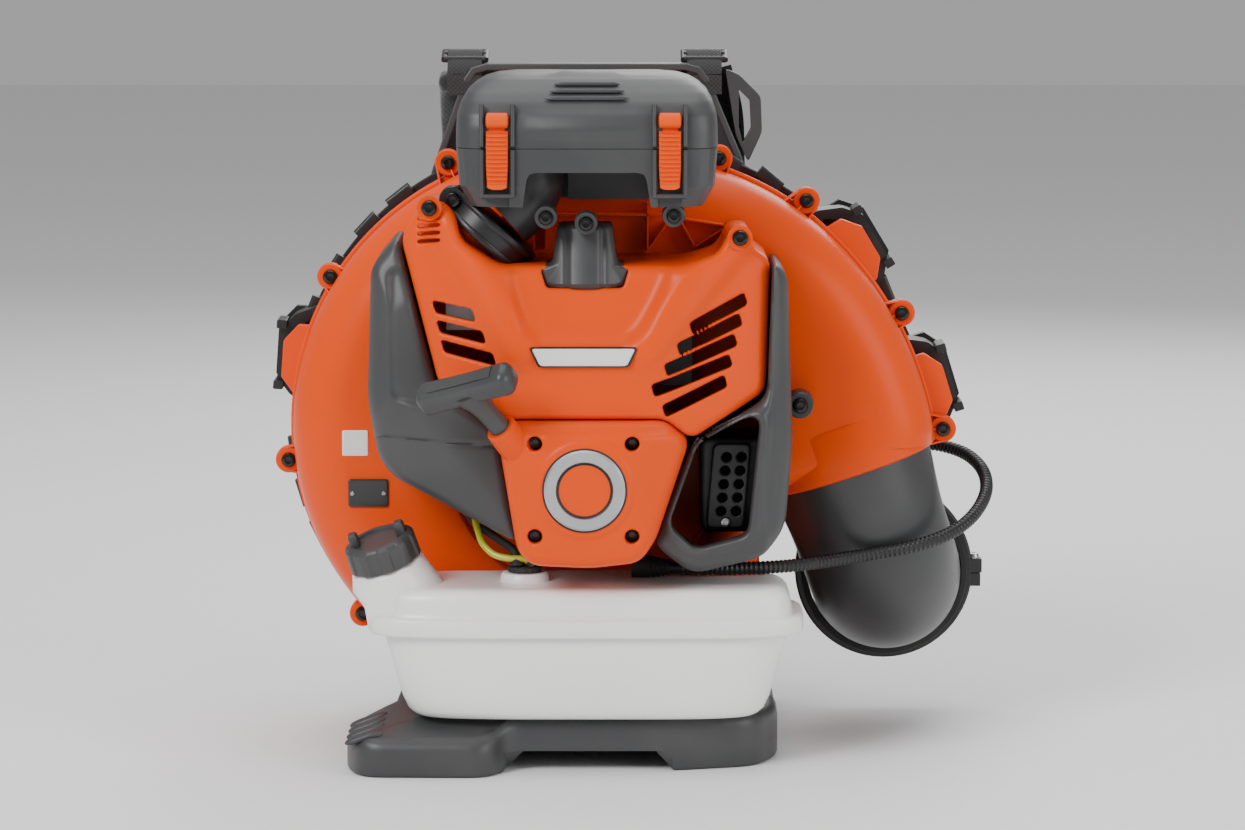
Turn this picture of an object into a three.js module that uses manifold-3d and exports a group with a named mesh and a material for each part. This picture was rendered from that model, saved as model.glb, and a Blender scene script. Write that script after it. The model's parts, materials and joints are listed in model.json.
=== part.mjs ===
// Backpack leaf blower: a two-stroke engine and centrifugal fan in a scroll housing, on a moulded
// base and back frame with a harness. Millimetres, +Z up; the air outlet elbow is on the +X side,
// the engine faces -Y and the wearer's back is on the +Y side. The origin is on the floor, at the
// middle of the footprint.
import * as THREE from 'three';
import { mergeVertices } from 'three/addons/utils/BufferGeometryUtils.js';
import Module from 'manifold-3d';

const wasm = await Module();
wasm.setup();

// ---- Driving dimensions -------------------------------------------------------------------
const GAP = 0.4;                  // clearance between touching pieces
const WALL = 3.5;                 // moulded wall thickness
const CENTRE = { x: 31.527, y: 154.577 };  // middle of the footprint, in the frame the pieces are drawn in
const SHAFT = { x: 0, z: 205, radius: 10 };
const SCROLL = {
  x: -14, z: 221, radius: 194, shrinkFrom: 240, shrink: 0.28,
  reach: [[0, 260], [20, 243], [43, 225], [60, 211], [90, 198], [118, 194], [240, 194]],
  front: 122, split: 185, back: 246, bulge: 40, flange: 3, recess: 118, recessDepth: 12,
};
const OUTLET = { x: 188, y: 185, z: 191, tilt: THREE.MathUtils.degToRad(18.4), collar: 60, tube: 55,
  wall: 3.5, lead: 22.7, bend: 70, stub: 20 };
const BASE = { top: 36, rear: 25, shoulder: 30, toe: 22, arch: 14 };
const TANK = { top: 127, bandTop: 107, bandBottom: 94.5, bottom: 36.8, middle: 65, depth: 55, wall: 3 };
const COVER = { front: -2, back: 119.5 };
const STARTER = { front: -12, back: 56 };
const FILTER = { x: 1.5, front: -5, back: 117, bottom: 390, split: 429.5, top: 478, half: 88.5 };
const FRAME = { front: 262.4, back: 286, top: 474 };
const LATCH = { x: [-58.4, 57.3], width: 12, top: 453, bottom: 404 };
const CAP = { x: -137, y: 50, z: 142, radius: 23, height: 19 };
const PULL = { exit: [-57, -6, 242], direction: [-0.51, -0.52, 0.685], bar: [0.841, -0.467, 0.271],
  reach: 42, half: 36, radius: 9.5 };

// ---- Materials ----------------------------------------------------------------------------
const finish = (color, roughness, metalness = 0) =>
  new THREE.MeshStandardMaterial({ color, roughness, metalness });
const ORANGE = finish(0xe64c08, 0.35);
const GREY = finish(0x505152, 0.5);
const BLACK = finish(0x161617, 0.45);
const WHITE = finish(0xe6e6e2, 0.4);
const STEEL = finish(0x9a9a9a, 0.3, 1);
const ALUMINIUM = finish(0xb0b1b3, 0.4, 1);
const RUBBER = finish(0x101010, 0.8);
const FABRIC = finish(0x1b1b1d, 0.9);
const PAPER = finish(0xd9cfb4, 0.9);
const SILVER = finish(0xb4b6b8, 0.35, 0.6);
const FUEL_HOSE = finish(0xc3c22a, 0.3);

// ---- Solids from three.js geometry ----------------------------------------------------------
const vector = (x, y, z) => new THREE.Vector3(x, y, z);
const fuse = (first, ...rest) => rest.reduce((sum, solid) => sum.add(solid), first);
const cut = (first, ...rest) => rest.reduce((left, solid) => left.subtract(solid), first);
const meet = (first, second) => first.intersect(second);

// A closed geometry as a solid, turned the right way out.
function solidOf(geometry) {
  const bare = geometry.index ? geometry.toNonIndexed() : geometry.clone();
  bare.deleteAttribute('normal');
  bare.deleteAttribute('uv');
  const merged = mergeVertices(bare, 1e-4);
  const vertProperties = merged.attributes.position.array;
  const make = (triVerts) => new wasm.Manifold(new wasm.Mesh({ numProp: 3, vertProperties, triVerts }));
  const triVerts = new Uint32Array(merged.index.array);
  const solid = make(triVerts);
  return solid.volume() < 0 ? make(triVerts.reverse()) : solid;
}

function geometryOf(solid) {
  const mesh = solid.getMesh();
  const geometry = new THREE.BufferGeometry();
  geometry.setAttribute('position', new THREE.BufferAttribute(mesh.vertProperties, 3));
  geometry.setIndex(new THREE.BufferAttribute(mesh.triVerts, 1));
  geometry.computeVertexNormals();
  return geometry;
}

// A closed outline through the points, each corner rounded.
function outline(points, radius = 0) {
  const shape = new THREE.Shape();
  points.forEach((point, i) => {
    const here = new THREE.Vector2(...point);
    const before = new THREE.Vector2(...points.at(i - 1));
    const after = new THREE.Vector2(...points[(i + 1) % points.length]);
    const reach = Math.min(radius, here.distanceTo(before) / 2.1, here.distanceTo(after) / 2.1);
    const from = here.clone().lerp(before, reach / here.distanceTo(before));
    const to = here.clone().lerp(after, reach / here.distanceTo(after));
    if (i === 0) shape.moveTo(from.x, from.y);
    else shape.lineTo(from.x, from.y);
    if (reach > 0) shape.quadraticCurveTo(here.x, here.y, to.x, to.y);
  });
  shape.closePath();
  return shape;
}

// The points of an outline moved outwards by a distance, or inwards if it is negative. An edge too
// short to survive the move is dropped.
function offset(points, distance) {
  const vectors = points.map((point) => new THREE.Vector2(...point));
  const edges = vectors.map((here, i) => here.clone().sub(vectors.at(i - 1)).normalize());
  const area = vectors.reduce((sum, here, i) => sum + vectors.at(i - 1).cross(here), 0);
  const side = Math.sign(area) * distance;
  const moved = vectors.map((here, i) => {
    const along = edges[i];
    const onward = edges[(i + 1) % points.length];
    const normal = new THREE.Vector2(along.y + onward.y, -along.x - onward.x).normalize();
    const stretch = side / Math.max(0.4, normal.dot(new THREE.Vector2(along.y, -along.x)));
    return here.clone().addScaledVector(normal, stretch);
  });
  const kept = moved.filter((here, i) => here.clone().sub(moved.at(i - 1)).dot(edges[i]) > 0.5);
  return kept.map((here) => here.toArray());
}

// Prisms of an outline: drawn in X and Z and deep in Y, drawn in X and Y and high in Z, or drawn
// in Y and Z and wide in X. An edge is the chamfer at both ends.
function extruded(shape, length, edge) {
  return new THREE.ExtrudeGeometry(shape, {
    depth: length - 2 * edge, curveSegments: 2, bevelEnabled: edge > 0, bevelThickness: edge,
    bevelSize: edge, bevelOffset: -edge, bevelSegments: 1,
  }).translate(0, 0, edge);
}
const deep = (shape, from, to, edge = 0) =>
  solidOf(extruded(shape, to - from, edge).rotateX(Math.PI / 2).translate(0, to, 0));
const high = (shape, from, to, edge = 0) =>
  solidOf(extruded(shape, to - from, edge).translate(0, 0, from));
function wide(shape, from, to, edge = 0) {
  const turn = new THREE.Matrix4().makeBasis(vector(0, 1, 0), vector(0, 0, 1), vector(1, 0, 0));
  return solidOf(extruded(shape, to - from, edge).applyMatrix4(turn).translate(from, 0, 0));
}

function block(low, high3) {
  const size = high3.map((value, i) => value - low[i]);
  const middle = low.map((value, i) => value + size[i] / 2);
  return solidOf(new THREE.BoxGeometry(...size).translate(...middle));
}

// A rod between two points, or a cone if its second radius differs.
function rod(from, to, radius, sides = 16, endRadius = radius) {
  const start = vector(...from);
  const span = vector(...to).sub(start);
  const geometry = new THREE.CylinderGeometry(endRadius, radius, span.length(), sides);
  const turn = new THREE.Quaternion().setFromUnitVectors(vector(0, 1, 0), span.clone().normalize());
  geometry.applyQuaternion(turn);
  return solidOf(geometry.translate(...start.addScaledVector(span, 0.5).toArray()));
}

// A round tube or solid rod along a smooth line through the points.
function swept(points, radius, { sides = 8, steps = 12, bore = 0 } = {}) {
  const circle = (r) => new THREE.Shape().absarc(0, 0, r, 0, 2 * Math.PI, false);
  const shape = circle(radius);
  if (bore > 0) shape.holes.push(new THREE.Path().absarc(0, 0, bore, 0, 2 * Math.PI, true));
  const path = new THREE.CatmullRomCurve3(points.map((point) => vector(...point)), false, 'centripetal');
  return solidOf(new THREE.ExtrudeGeometry(shape, { steps, curveSegments: sides / 2, extrudePath: path }));
}

// A solid with its skin stretched over rings of points, flat at both ends.
function lofted(rings) {
  const sides = rings[0].length;
  const middles = [rings[0], rings.at(-1)].map((ring) =>
    ring.reduce((sum, point) => sum.add(vector(...point)), vector(0, 0, 0)).divideScalar(sides));
  const positions = [...rings.flat(2), ...middles[0].toArray(), ...middles[1].toArray()];
  const index = [];
  for (let ring = 0; ring < rings.length - 1; ring += 1) {
    for (let side = 0; side < sides; side += 1) {
      const a = ring * sides + side;
      const b = ring * sides + ((side + 1) % sides);
      index.push(a, b, b + sides, a, b + sides, a + sides);
    }
  }
  const last = (rings.length - 1) * sides;
  for (let side = 0; side < sides; side += 1) {
    const next = (side + 1) % sides;
    index.push(rings.length * sides, next, side, rings.length * sides + 1, last + side, last + next);
  }
  const geometry = new THREE.BufferGeometry();
  geometry.setAttribute('position', new THREE.BufferAttribute(new Float32Array(positions), 3));
  return solidOf(geometry.setIndex(index));
}

// A ring of points round a rectangle with soft corners: power 2 is an ellipse, more is squarer.
function softRing([x, y, z], halfX, halfY, power = 5, sides = 28) {
  return Array.from({ length: sides }, (_, i) => {
    const angle = ((i + 0.5) / sides) * 2 * Math.PI;
    const soft = (value) => Math.sign(value) * Math.abs(value) ** (2 / power);
    return [x + halfX * soft(Math.cos(angle)), y + halfY * soft(Math.sin(angle)), z];
  });
}

// ---- The tree of parts ----------------------------------------------------------------------
const blower = new THREE.Group();
blower.position.set(-CENTRE.x, -CENTRE.y, 0);

function add(name, solid, material, parent = blower) {
  const mesh = new THREE.Mesh(geometryOf(solid), material);
  mesh.name = name;
  parent.add(mesh);
  return mesh;
}

// A group whose +Z points along a direction, for pieces drawn upright and set at a slant.
function slanted(position, direction, parent = blower) {
  const group = new THREE.Group();
  group.position.set(...position);
  group.quaternion.setFromUnitVectors(vector(0, 0, 1), vector(...direction).normalize());
  parent.add(group);
  return group;
}

// ---- Fan housing ----------------------------------------------------------------------------
// Distance from the scroll's centre to its wall. It is even round the left side, grows clockwise
// over the top towards the outlet, and closes in to the tongue underneath.
function scrollRadius(degrees) {
  const { reach, radius, shrink, shrinkFrom } = SCROLL;
  if (degrees > shrinkFrom) return radius - shrink * (degrees - shrinkFrom);
  const next = Math.max(1, reach.findIndex(([angle]) => angle >= degrees));
  const [[from, low], [to, high]] = [reach[next - 1], reach[next]];
  return low + (high - low) * (degrees - from) / (to - from);
}

function scrollRing(y, inset) {
  const step = 10;
  const ring = [];
  for (let degrees = 0; degrees <= 320; degrees += step) {
    const angle = THREE.MathUtils.degToRad(degrees);
    const reach = scrollRadius(degrees) - inset;
    ring.push([SCROLL.x + reach * Math.cos(angle), y, SCROLL.z + reach * Math.sin(angle)]);
  }
  const corners = [[131, 172], [245, 210]];
  corners.forEach(([x, z]) => {
    const span = new THREE.Vector2(x - SCROLL.x, z - SCROLL.z);
    span.setLength(span.length() - inset);
    ring.push([SCROLL.x + span.x, y, SCROLL.z + span.y]);
  });
  return ring;
}

// The scroll as one body: rounded over at the front and back, and inset by a wall thickness.
function scrollBody(inset) {
  const { front, back, bulge } = SCROLL;
  const round = [0, 45, 90].map((degrees) => THREE.MathUtils.degToRad(degrees));
  const depth = (angle) => inset + bulge * (1 - Math.cos(angle));
  const reach = (angle) => inset + bulge * (1 - Math.sin(angle));
  const frontRings = round.map((angle) => scrollRing(front + depth(angle), reach(angle)));
  const backRings = round.map((angle) => scrollRing(back - depth(angle), reach(angle)));
  return lofted([...frontRings, ...backRings.reverse()]);
}

const outletAxis = [Math.sin(OUTLET.tilt), 0, -Math.cos(OUTLET.tilt)];
const outletPoint = (distance) => [
  OUTLET.x + outletAxis[0] * distance, OUTLET.y, OUTLET.z + outletAxis[2] * distance];

const RIM_SCREWS = [[-98, 408], [-182, 327], [-212.5, 196], [-160.5, 85], [94, 411], [156, 381],
  [224, 301], [254, 218]];
const HEX_TABS = [[-205, 267, 176], [192, 345, 31], [246, 247, 17]];

// The rim's flange: a flat plate just outside the scroll, with ears round the screws and six-sided
// tabs that the intake guard clips on.
function rimFlange(y0, y1) {
  const plate = lofted([scrollRing(y0, -SCROLL.flange), scrollRing(y1, -SCROLL.flange)]);
  const ears = RIM_SCREWS.map(([x, z]) => rod([x, y0 - 2, z], [x, y1, z], 9.5, 8));
  const tabs = HEX_TABS.map(([x, z, degrees]) => {
    const angle = THREE.MathUtils.degToRad(degrees);
    const turned = [[-14, -26], [-14, 26], [4, 26], [14, 14], [14, -14], [4, -26]].map(([u, v]) => [
      x + u * Math.cos(angle) - v * Math.sin(angle), z + u * Math.sin(angle) + v * Math.cos(angle)]);
    return deep(outline(turned), y0 + 2, y1);
  });
  return fuse(plate, ...ears, ...tabs);
}

function fanHousing() {
  const { front, split, back, recess, recessDepth } = SCROLL;
  const axis = (y) => [SHAFT.x, y, SHAFT.z];
  const collar = rod(outletPoint(-60), outletPoint(0), OUTLET.collar + 2, 28);
  const duct = rod(outletPoint(-62), outletPoint(12), OUTLET.tube + 2.4, 28);
  const mouth = rod(outletPoint(0), outletPoint(12), OUTLET.collar + 16, 20);
  const solid = fuse(scrollBody(0), collar, rimFlange(split - 6, split + 6));
  const outer = cut(solid, rod(axis(front - 1), axis(front + recessDepth), recess, 32));
  const floor = rod(axis(front - 1), axis(front + recessDepth + WALL), recess + WALL, 32);
  const shell = cut(outer, cut(scrollBody(WALL), floor), duct, mouth);
  const far = 400;
  const frontHalf = meet(shell, block([-far, 0, -far], [far, split - GAP / 2, far * 2]));
  const backHalf = meet(shell, block([-far, split + GAP / 2, -far], [far, far, far * 2]));
  add('fan_housing_front', cut(frontHalf, rod(axis(front), axis(split), SHAFT.radius + 2, 16)), ORANGE);
  const inlet = rod(axis(back - 20), axis(back + 5), 82, 40);
  add('fan_housing_back', cut(backHalf, inlet), ORANGE);
}

// A flat grille behind the housing, over the fan's inlet, with clip frames at the housing's tabs.
function intakeGuard() {
  const { back } = SCROLL;
  const y0 = back + GAP;
  const y1 = y0 + 9;
  const plate = lofted([scrollRing(y0, -5), scrollRing(y1, -4)]);
  const clips = HEX_TABS.map(([x, z, degrees]) => {
    const angle = THREE.MathUtils.degToRad(degrees);
    const turned = [[-20, -32], [-20, 32], [8, 32], [20, 18], [20, -18], [8, -32]].map(([u, v]) => [
      x + u * Math.cos(angle) - v * Math.sin(angle), z + u * Math.sin(angle) + v * Math.cos(angle)]);
    return deep(outline(turned), y0, y1);
  });
  const slots = [-3, -2, -1, 0, 1, 2, 3].map((row) => {
    const half = Math.sqrt(78 ** 2 - (row * 21) ** 2);
    const z = SHAFT.z + row * 21;
    return block([SHAFT.x - half, y0 - 1, z - 6], [SHAFT.x + half, y1 + 1, z + 6]);
  });
  const outletRoom = rod(outletPoint(-64), outletPoint(60), OUTLET.collar + 6, 24);
  const baseRoom = block([-200, y0 - 1, 0], [200, y1 + 1, BASE.rear + GAP]);
  const mounts = MOUNT_SPOTS.map(([x, z]) => rod([x, y0 - 1, z], [x, y1 + 1, z], 16, 12));
  add('intake_guard', cut(fuse(plate, ...clips), ...slots, ...mounts, outletRoom, baseRoom), BLACK);
}

// ---- Rotating parts -------------------------------------------------------------------------
function rotor() {
  const axis = (y) => [SHAFT.x, y, SHAFT.z];
  const web = rod(axis(84), axis(98), 29, 28);
  add('crankshaft', fuse(rod(axis(26), axis(205), SHAFT.radius, 16), web), STEEL);
  const bladeCount = 12;
  const blades = Array.from({ length: bladeCount }, (_, i) => {
    const blade = new THREE.BoxGeometry(58, 44, 3).rotateY(0.45).translate(86, 0, 0);
    blade.rotateY((i / bladeCount) * 2 * Math.PI);
    return solidOf(blade.translate(SHAFT.x, 166, SHAFT.z));
  });
  const disc = rod(axis(143), axis(147), 116, 36);
  const hub = rod(axis(142), axis(200), 24, 24, 16);
  const bore = rod(axis(140), axis(206), SHAFT.radius + GAP, 16);
  add('impeller', cut(fuse(disc, hub, ...blades), bore), BLACK);
  const wheel = rod(axis(38), axis(54), 45, 28);
  const vanes = Array.from({ length: 8 }, (_, i) => {
    const vane = new THREE.BoxGeometry(18, 8, 3).translate(34, 0, 0).rotateY((i / 8) * 2 * Math.PI);
    return solidOf(vane.translate(SHAFT.x, 35, SHAFT.z));
  });
  add('flywheel', cut(fuse(wheel, ...vanes), rod(axis(24), axis(60), SHAFT.radius + GAP, 16)), ALUMINIUM);
}

function recoilStarter() {
  const axis = (y) => [SHAFT.x, y, SHAFT.z];
  const grooved = cut(
    fuse(rod(axis(6), axis(9), 35, 24), rod(axis(9), axis(15), 30, 24), rod(axis(15), axis(18), 35, 24)),
    rod(axis(5), axis(20), 8.4, 12));
  add('recoil_pulley', grooved, BLACK);
  const springPath = Array.from({ length: 37 }, (_, i) => {
    const angle = (i / 12) * 2 * Math.PI;
    const reach = 12 + i * 0.5;
    return [SHAFT.x + reach * Math.cos(angle), 0.8, SHAFT.z + reach * Math.sin(angle)];
  });
  add('recoil_spring', swept(springPath, 1.3, { sides: 4, steps: 40 }), STEEL);
}

// ---- Engine ---------------------------------------------------------------------------------
function engine() {
  const axis = (y) => [SHAFT.x, y, SHAFT.z];
  const bearingBore = 18.4;
  const caseBody = block([-44, 62, 160], [44, 133.6, 262]);
  const cavity = rod(axis(78), axis(104), 32, 28);
  const bore = rod([0, 91, 215], [0, 91, 264], 25, 16);
  const bores = [rod(axis(60), axis(78.5), bearingBore, 20), rod(axis(103.5), axis(135), bearingBore, 20)];
  add('crankcase', cut(caseBody, cavity, ...bores, bore), ALUMINIUM);
  const ring = (from, to) => cut(rod(axis(from), axis(to), 18, 20),
    rod(axis(from - 1), axis(to + 1), SHAFT.radius + GAP, 16));
  add('crank_bearing_front', ring(64, 76), STEEL);
  add('crank_bearing_rear', ring(108, 120), STEEL);
  const fins = [0, 1, 2, 3, 4, 5].map((row) =>
    block([-46, 60, 270 + row * 10], [46, 122, 273 + row * 10]));
  const barrel = rod([0, 91, 262.5], [0, 91, 326], 30, 16);
  const head = block([-34, 66, 322], [34, 116, 334]);
  const plugHole = rod([0, 91, 300], [0, 91, 340], 6.4, 12);
  const cylinderBore = rod([0, 91, 260], [0, 91, 318], 25, 16);
  add('cylinder', cut(fuse(barrel, head, ...fins), cylinderBore, plugHole), ALUMINIUM);
  const skirt = rod([0, 91, 284], [0, 91, 312], 24.5, 16);
  add('piston', cut(skirt, rod([0, 91, 283], [0, 91, 307], 20, 12)), STEEL);
  const plugThread = rod([0, 91, 313], [0, 91, 338], 5.9, 12);
  add('spark_plug', fuse(plugThread, rod([0, 91, 338], [0, 91, 345], 9, 12)), STEEL);
  add('ignition_coil', block([52, 62, 262], [74, 90, 300]), BLACK);
  const bodyOfCarb = block([-96, 66, 300], [-58, 104, 336]);
  const carburettorBore = rod([-100, 85, 318], [-50, 85, 318], 12, 16);
  add('carburettor', cut(bodyOfCarb, carburettorBore), ALUMINIUM);
}

// ---- Covers round the engine ------------------------------------------------------------------
// A point on the line that the starter rope is pulled along, so far out of its guide.
const pullPoint = (distance, across = 0) => PULL.exit.map((value, i) =>
  value + PULL.direction[i] * distance + PULL.bar[i] * across);

const COVER_EDGE = [[-114, 386], [-99, 393], [-88, 385], [-84, 366], [-58, 349], [66, 349],
  [90, 356], [98, 372], [112, 372], [114, 360], [126, 352], [123, 262], [72, 232], [54, 245.4],
  [-49, 245.4], [-60, 243], [-99, 268], [-125, 366]];
const STARTER_EDGE = [[-60, 239], [-46, 157], [-36, 147], [3, 145], [37, 149], [48, 164], [71, 230],
  [54, 244.6], [-49, 244.6]];
const LEFT_EDGE = [[-127.6, 368], [-146, 346], [-149, 256], [-139, 208], [-128, 190], [-50, 150],
  [-61.5, 238], [-100.5, 264.5]];
const RIGHT_EDGE = [[127.6, 352], [138, 342], [142, 226], [137, 168], [121, 148], [73, 136], [46, 158],
  [72.4, 228], [124, 258]];
const RIGHT_WINDOW = [[80, 225], [112, 246], [119, 243], [110, 166], [74, 150], [56, 165]];
const SCREW_SPOTS = [[-33.5, 231], [32, 231], [-33.5, 168], [32, 168]];

// A slab as big as the engine, standing in front of a plane through a point. Cutting it away
// leaves a slanted face.
function beyond(point, direction) {
  const size = 400;
  const geometry = new THREE.BoxGeometry(size, size, size).translate(0, 0, size / 2);
  const turn = new THREE.Quaternion().setFromUnitVectors(vector(0, 0, 1), vector(...direction).normalize());
  return solidOf(geometry.applyQuaternion(turn).translate(...point));
}

// A hollow cover of an outline, open at the back, with slanted faces cut into its front.
function cover(points, radius, from, to, faces) {
  const slabs = (depth) => faces.map(([point, direction]) => {
    const inward = vector(...direction).normalize().multiplyScalar(-depth);
    return beyond(point.map((value, i) => value + inward.getComponent(i)), direction);
  });
  const outer = cut(deep(outline(points, radius), from, to, 1.5), ...slabs(0));
  const inner = deep(outline(offset(points, -WALL), radius), from + WALL, to + 10);
  return cut(outer, cut(inner, ...slabs(WALL)));
}

const ENGINE_FACES = [
  [[-52, COVER.front, 300], [-0.42, -1, 0.06]],
  [[46, COVER.front, 300], [0.42, -1, 0.06]],
  [[0, COVER.front, 300], [0, -1, 0.28]],
];

// A slot cut slantwise through a cover, from one end to the other.
function slot(x0, z0, x1, z1, half) {
  const points = [[x0, z0 - half], [x1 + half, z1 - half], [x1, z1 + half], [x0 - half, z0 + half]];
  return deep(outline(points), COVER.front - 20, 90);
}

function engineCovers() {
  const leftVents = [0, 1, 2].map((row) =>
    slot(-100 + row * 4, 314 - row * 16, -76 + row * 8, 309 - row * 17, 4));
  const rightVents = [0, 1, 2, 3, 4].map((row) =>
    slot(72 - row * 9 + (row === 4 ? 14 : 0), 303 - row * 13.5, 107 - row * 4, 322 - row * 13.5, 4));
  const smallVents = [0, 1].map((row) => slot(-110, 375 - row * 9, -96, 377 - row * 9, 1.8));
  const ductRoom = rod([-39.7, 60, 399.7], [-106.7, 60, 325.5], 37, 20);
  const earRoom = rod([-91, 38, 384], [-91, 66, 384], 11, 12);
  const engineRoom = block([-47, 22, 236], [58, COVER.back + 1, 256]);
  const insertRoom = deep(outline(offset(INSERT_EDGE, 0.8)), COVER.front - 5, 130);
  const handleRoom = rod([-66, -30, 262], [-52, -2, 236], 17, 16);
  const guide = fuse(block([-58, 0, 226], [-40, 30, 243]), rod(pullPoint(-20), pullPoint(-1.5), 9, 12));
  const upper = cover(COVER_EDGE, 6, COVER.front, COVER.back, ENGINE_FACES);
  add('engine_cover', cut(upper, ...leftVents, ...rightVents, ...smallVents, ductRoom, insertRoom,
    handleRoom, earRoom, engineRoom), ORANGE);
  const recesses = SCREW_SPOTS.map(([x, z]) => rod([x, STARTER.front - 1, z], [x, STARTER.back, z], 4.5, 8));
  const post = rod([0, STARTER.front + 2, SHAFT.z], [0, 22, SHAFT.z], 8, 12);
  const lower = cover(STARTER_EDGE, 8, STARTER.front, STARTER.back, [
    [[0, STARTER.front, 165], [0, -1, -0.25]], [[-30, STARTER.front, 205], [-0.5, -1, 0]],
    [[34, STARTER.front, 205], [0.5, -1, 0]]]);
  const ropeHole = rod(pullPoint(-35), pullPoint(14), 4, 10);
  const inside = deep(outline(offset(STARTER_EDGE, -0.2)), STARTER.front - 20, STARTER.back);
  const gripRoom = rod(pullPoint(-1.5), pullPoint(30), 15, 16);
  const starter = cut(fuse(lower, meet(guide, inside), post), ...recesses, ropeHole, gripRoom, engineRoom);
  add('starter_cover', starter, ORANGE);
  const left = cover(LEFT_EDGE, 8, 24, COVER.back, [
    [[-128, 24, 300], [-0.9, -1, 0]], [[-100, 24, 230], [-0.35, -1, -0.3]],
    [[-120, 30, 340], [-0.2, -1, 0.35]]]);
  const hoseRoom = block([-100, 60, 140], [-48, COVER.back + 1, 184]);
  add('side_cover_left', cut(left, hoseRoom), GREY);
  const right = cover(RIGHT_EDGE, 10, 18, COVER.back, [
    [[128, 18, 250], [0.9, -1, 0]], [[90, 18, 156], [0, -1, -0.35]]]);
  add('side_cover_right', cut(right, deep(outline(RIGHT_WINDOW, 5), 0, 60)), GREY);
}

function starterPull() {
  const { reach, half, radius } = PULL;
  const stem = rod(pullPoint(GAP), pullPoint(reach), 7, 16, 8.5);
  add('starter_grip', fuse(stem, rod(pullPoint(reach, -half), pullPoint(reach, half), radius, 16)), GREY);
  add('starter_rope', rod(pullPoint(-32), pullPoint(0), 2, 8), WHITE);
}

const INSERT_EDGE = [[-29, 346], [-25, 335], [25, 335], [29, 346], [17, 372], [-17, 372]];
function snorkelCover() {
  const body = cover(INSERT_EDGE, 4, 8, 60, [[[0, 8, 345], [0, -1, 0.9]]]);
  add('snorkel_cover', fuse(body, rod([0, 30, 372], [0, 60, 372], 8, 12)), GREY);
}

function muffler() {
  const shell = deep(outline([[79, 160], [122, 160], [130, 172], [130, 226], [79, 226]], 6), 66, 118, 2);
  const plate = deep(outline([[84, 166], [108, 166], [113, 221], [89, 221]], 4), 58, 70.5);
  add('muffler', fuse(shell, plate), BLACK);
}

// ---- Air filter ---------------------------------------------------------------------------
const filterRing = (z, half, front, back, power = 7) =>
  softRing([FILTER.x, (front + back) / 2, z], half, (back - front) / 2, power, 24);

function airFilter() {
  const { front, back, bottom, split, top, half } = FILTER;
  const lidOuter = lofted([
    filterRing(split + GAP / 2, half, front, back), filterRing(452, half - 1, front + 3, back),
    filterRing(466, half - 7, front + 12, back - 3), filterRing(474, half - 16, front + 24, back - 8),
    filterRing(top, half - 30, front + 42, back - 20)]);
  const lidInner = lofted([
    filterRing(split - 5, half - WALL, front + WALL, back - WALL),
    filterRing(452, half - 1 - WALL, front + 3 + WALL, back - WALL),
    filterRing(465, half - 10, front + 15, back - 7),
    filterRing(top - WALL, half - 34, front + 46, back - 24)]);
  const pockets = LATCH.x.map((x) => block([x - 8, front - 5, 380], [x + 8, front + 7, LATCH.top + 3]));
  const pocketWalls = LATCH.x.map((x) =>
    block([x - 11, front + 1, split + 1], [x + 11, front + 10.5, LATCH.top + 6]));
  add('filter_lid', cut(fuse(cut(lidOuter, lidInner), ...pocketWalls), ...pockets), GREY);
  const tray = lofted([filterRing(bottom, half - 9, front + 5, back, 6),
    filterRing(bottom + 14, half - 2, front, back), filterRing(split - GAP / 2, half, front, back)]);
  const trayInside = lofted([filterRing(418, half - WALL - 1, front + WALL, back - WALL),
    filterRing(split + 2, half - WALL, front + WALL, back - WALL)]);
  const notch = deep(outline([[-38, 413.5], [-43, 380], [46, 380], [41, 413.5]], 5), front - 5, 74);
  const trayWalls = LATCH.x.map((x) => block([x - 11, front + 1, 396], [x + 11, front + 10.5, split - 1]));
  const port = rod([-40, 62, 405], [-40, 62, 425], 22, 20);
  add('filter_base', cut(fuse(cut(tray, trayInside), ...trayWalls), notch, ...pockets,
    port, block([-84, 30, 380], [-12, 91, 412]), rod([-57, 60, 380.5], [-76, 60, 359.5], 36, 24)), GREY);
  add('filter_element', lofted([filterRing(418.6, half - 12, front + 14, back - 10, 8),
    filterRing(460, half - 14, front + 20, back - 12, 8)]), PAPER);
}

function latches() {
  LATCH.x.forEach((x, i) => {
    const group = new THREE.Group();
    group.position.set(x, FILTER.front, LATCH.top - 5);
    blower.add(group);
    const roll = rod([-LATCH.width / 2, 1, 0], [LATCH.width / 2, 1, 0], 4.6, 12);
    const tongue = wide(outline([[-1, 0], [4, 0], [4.5, -38], [2.5, -44], [-1.5, -44], [-3, -20]], 1.5),
      -LATCH.width / 2, LATCH.width / 2);
    add(i ? 'latch_right' : 'latch_left', fuse(roll, tongue), ORANGE, group);
  });
}

function intakeDuct() {
  const elbow = swept([[-40, 61, 411], [-40, 61, 402], [-46, 61, 391], [-57, 60, 380.6]], 25,
    { sides: 16, steps: 5, bore: 21 });
  add('intake_duct', meet(elbow, block([-100, 0, 350], [0, 130, 411.6])), GREY);
  const collar = rod([-59.8, 60, 377.4], [-72, 60, 363.9], 34, 28);
  const ear = rod([-91, 44, 384], [-91, 60, 384], 9, 12);
  const bridge = block([-94, 50, 376], [-74, 58, 386]);
  add('duct_clamp', cut(fuse(collar, ear, bridge), rod([-56, 60, 382], [-76, 60, 359.5], 22, 20)), BLACK);
}

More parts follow.
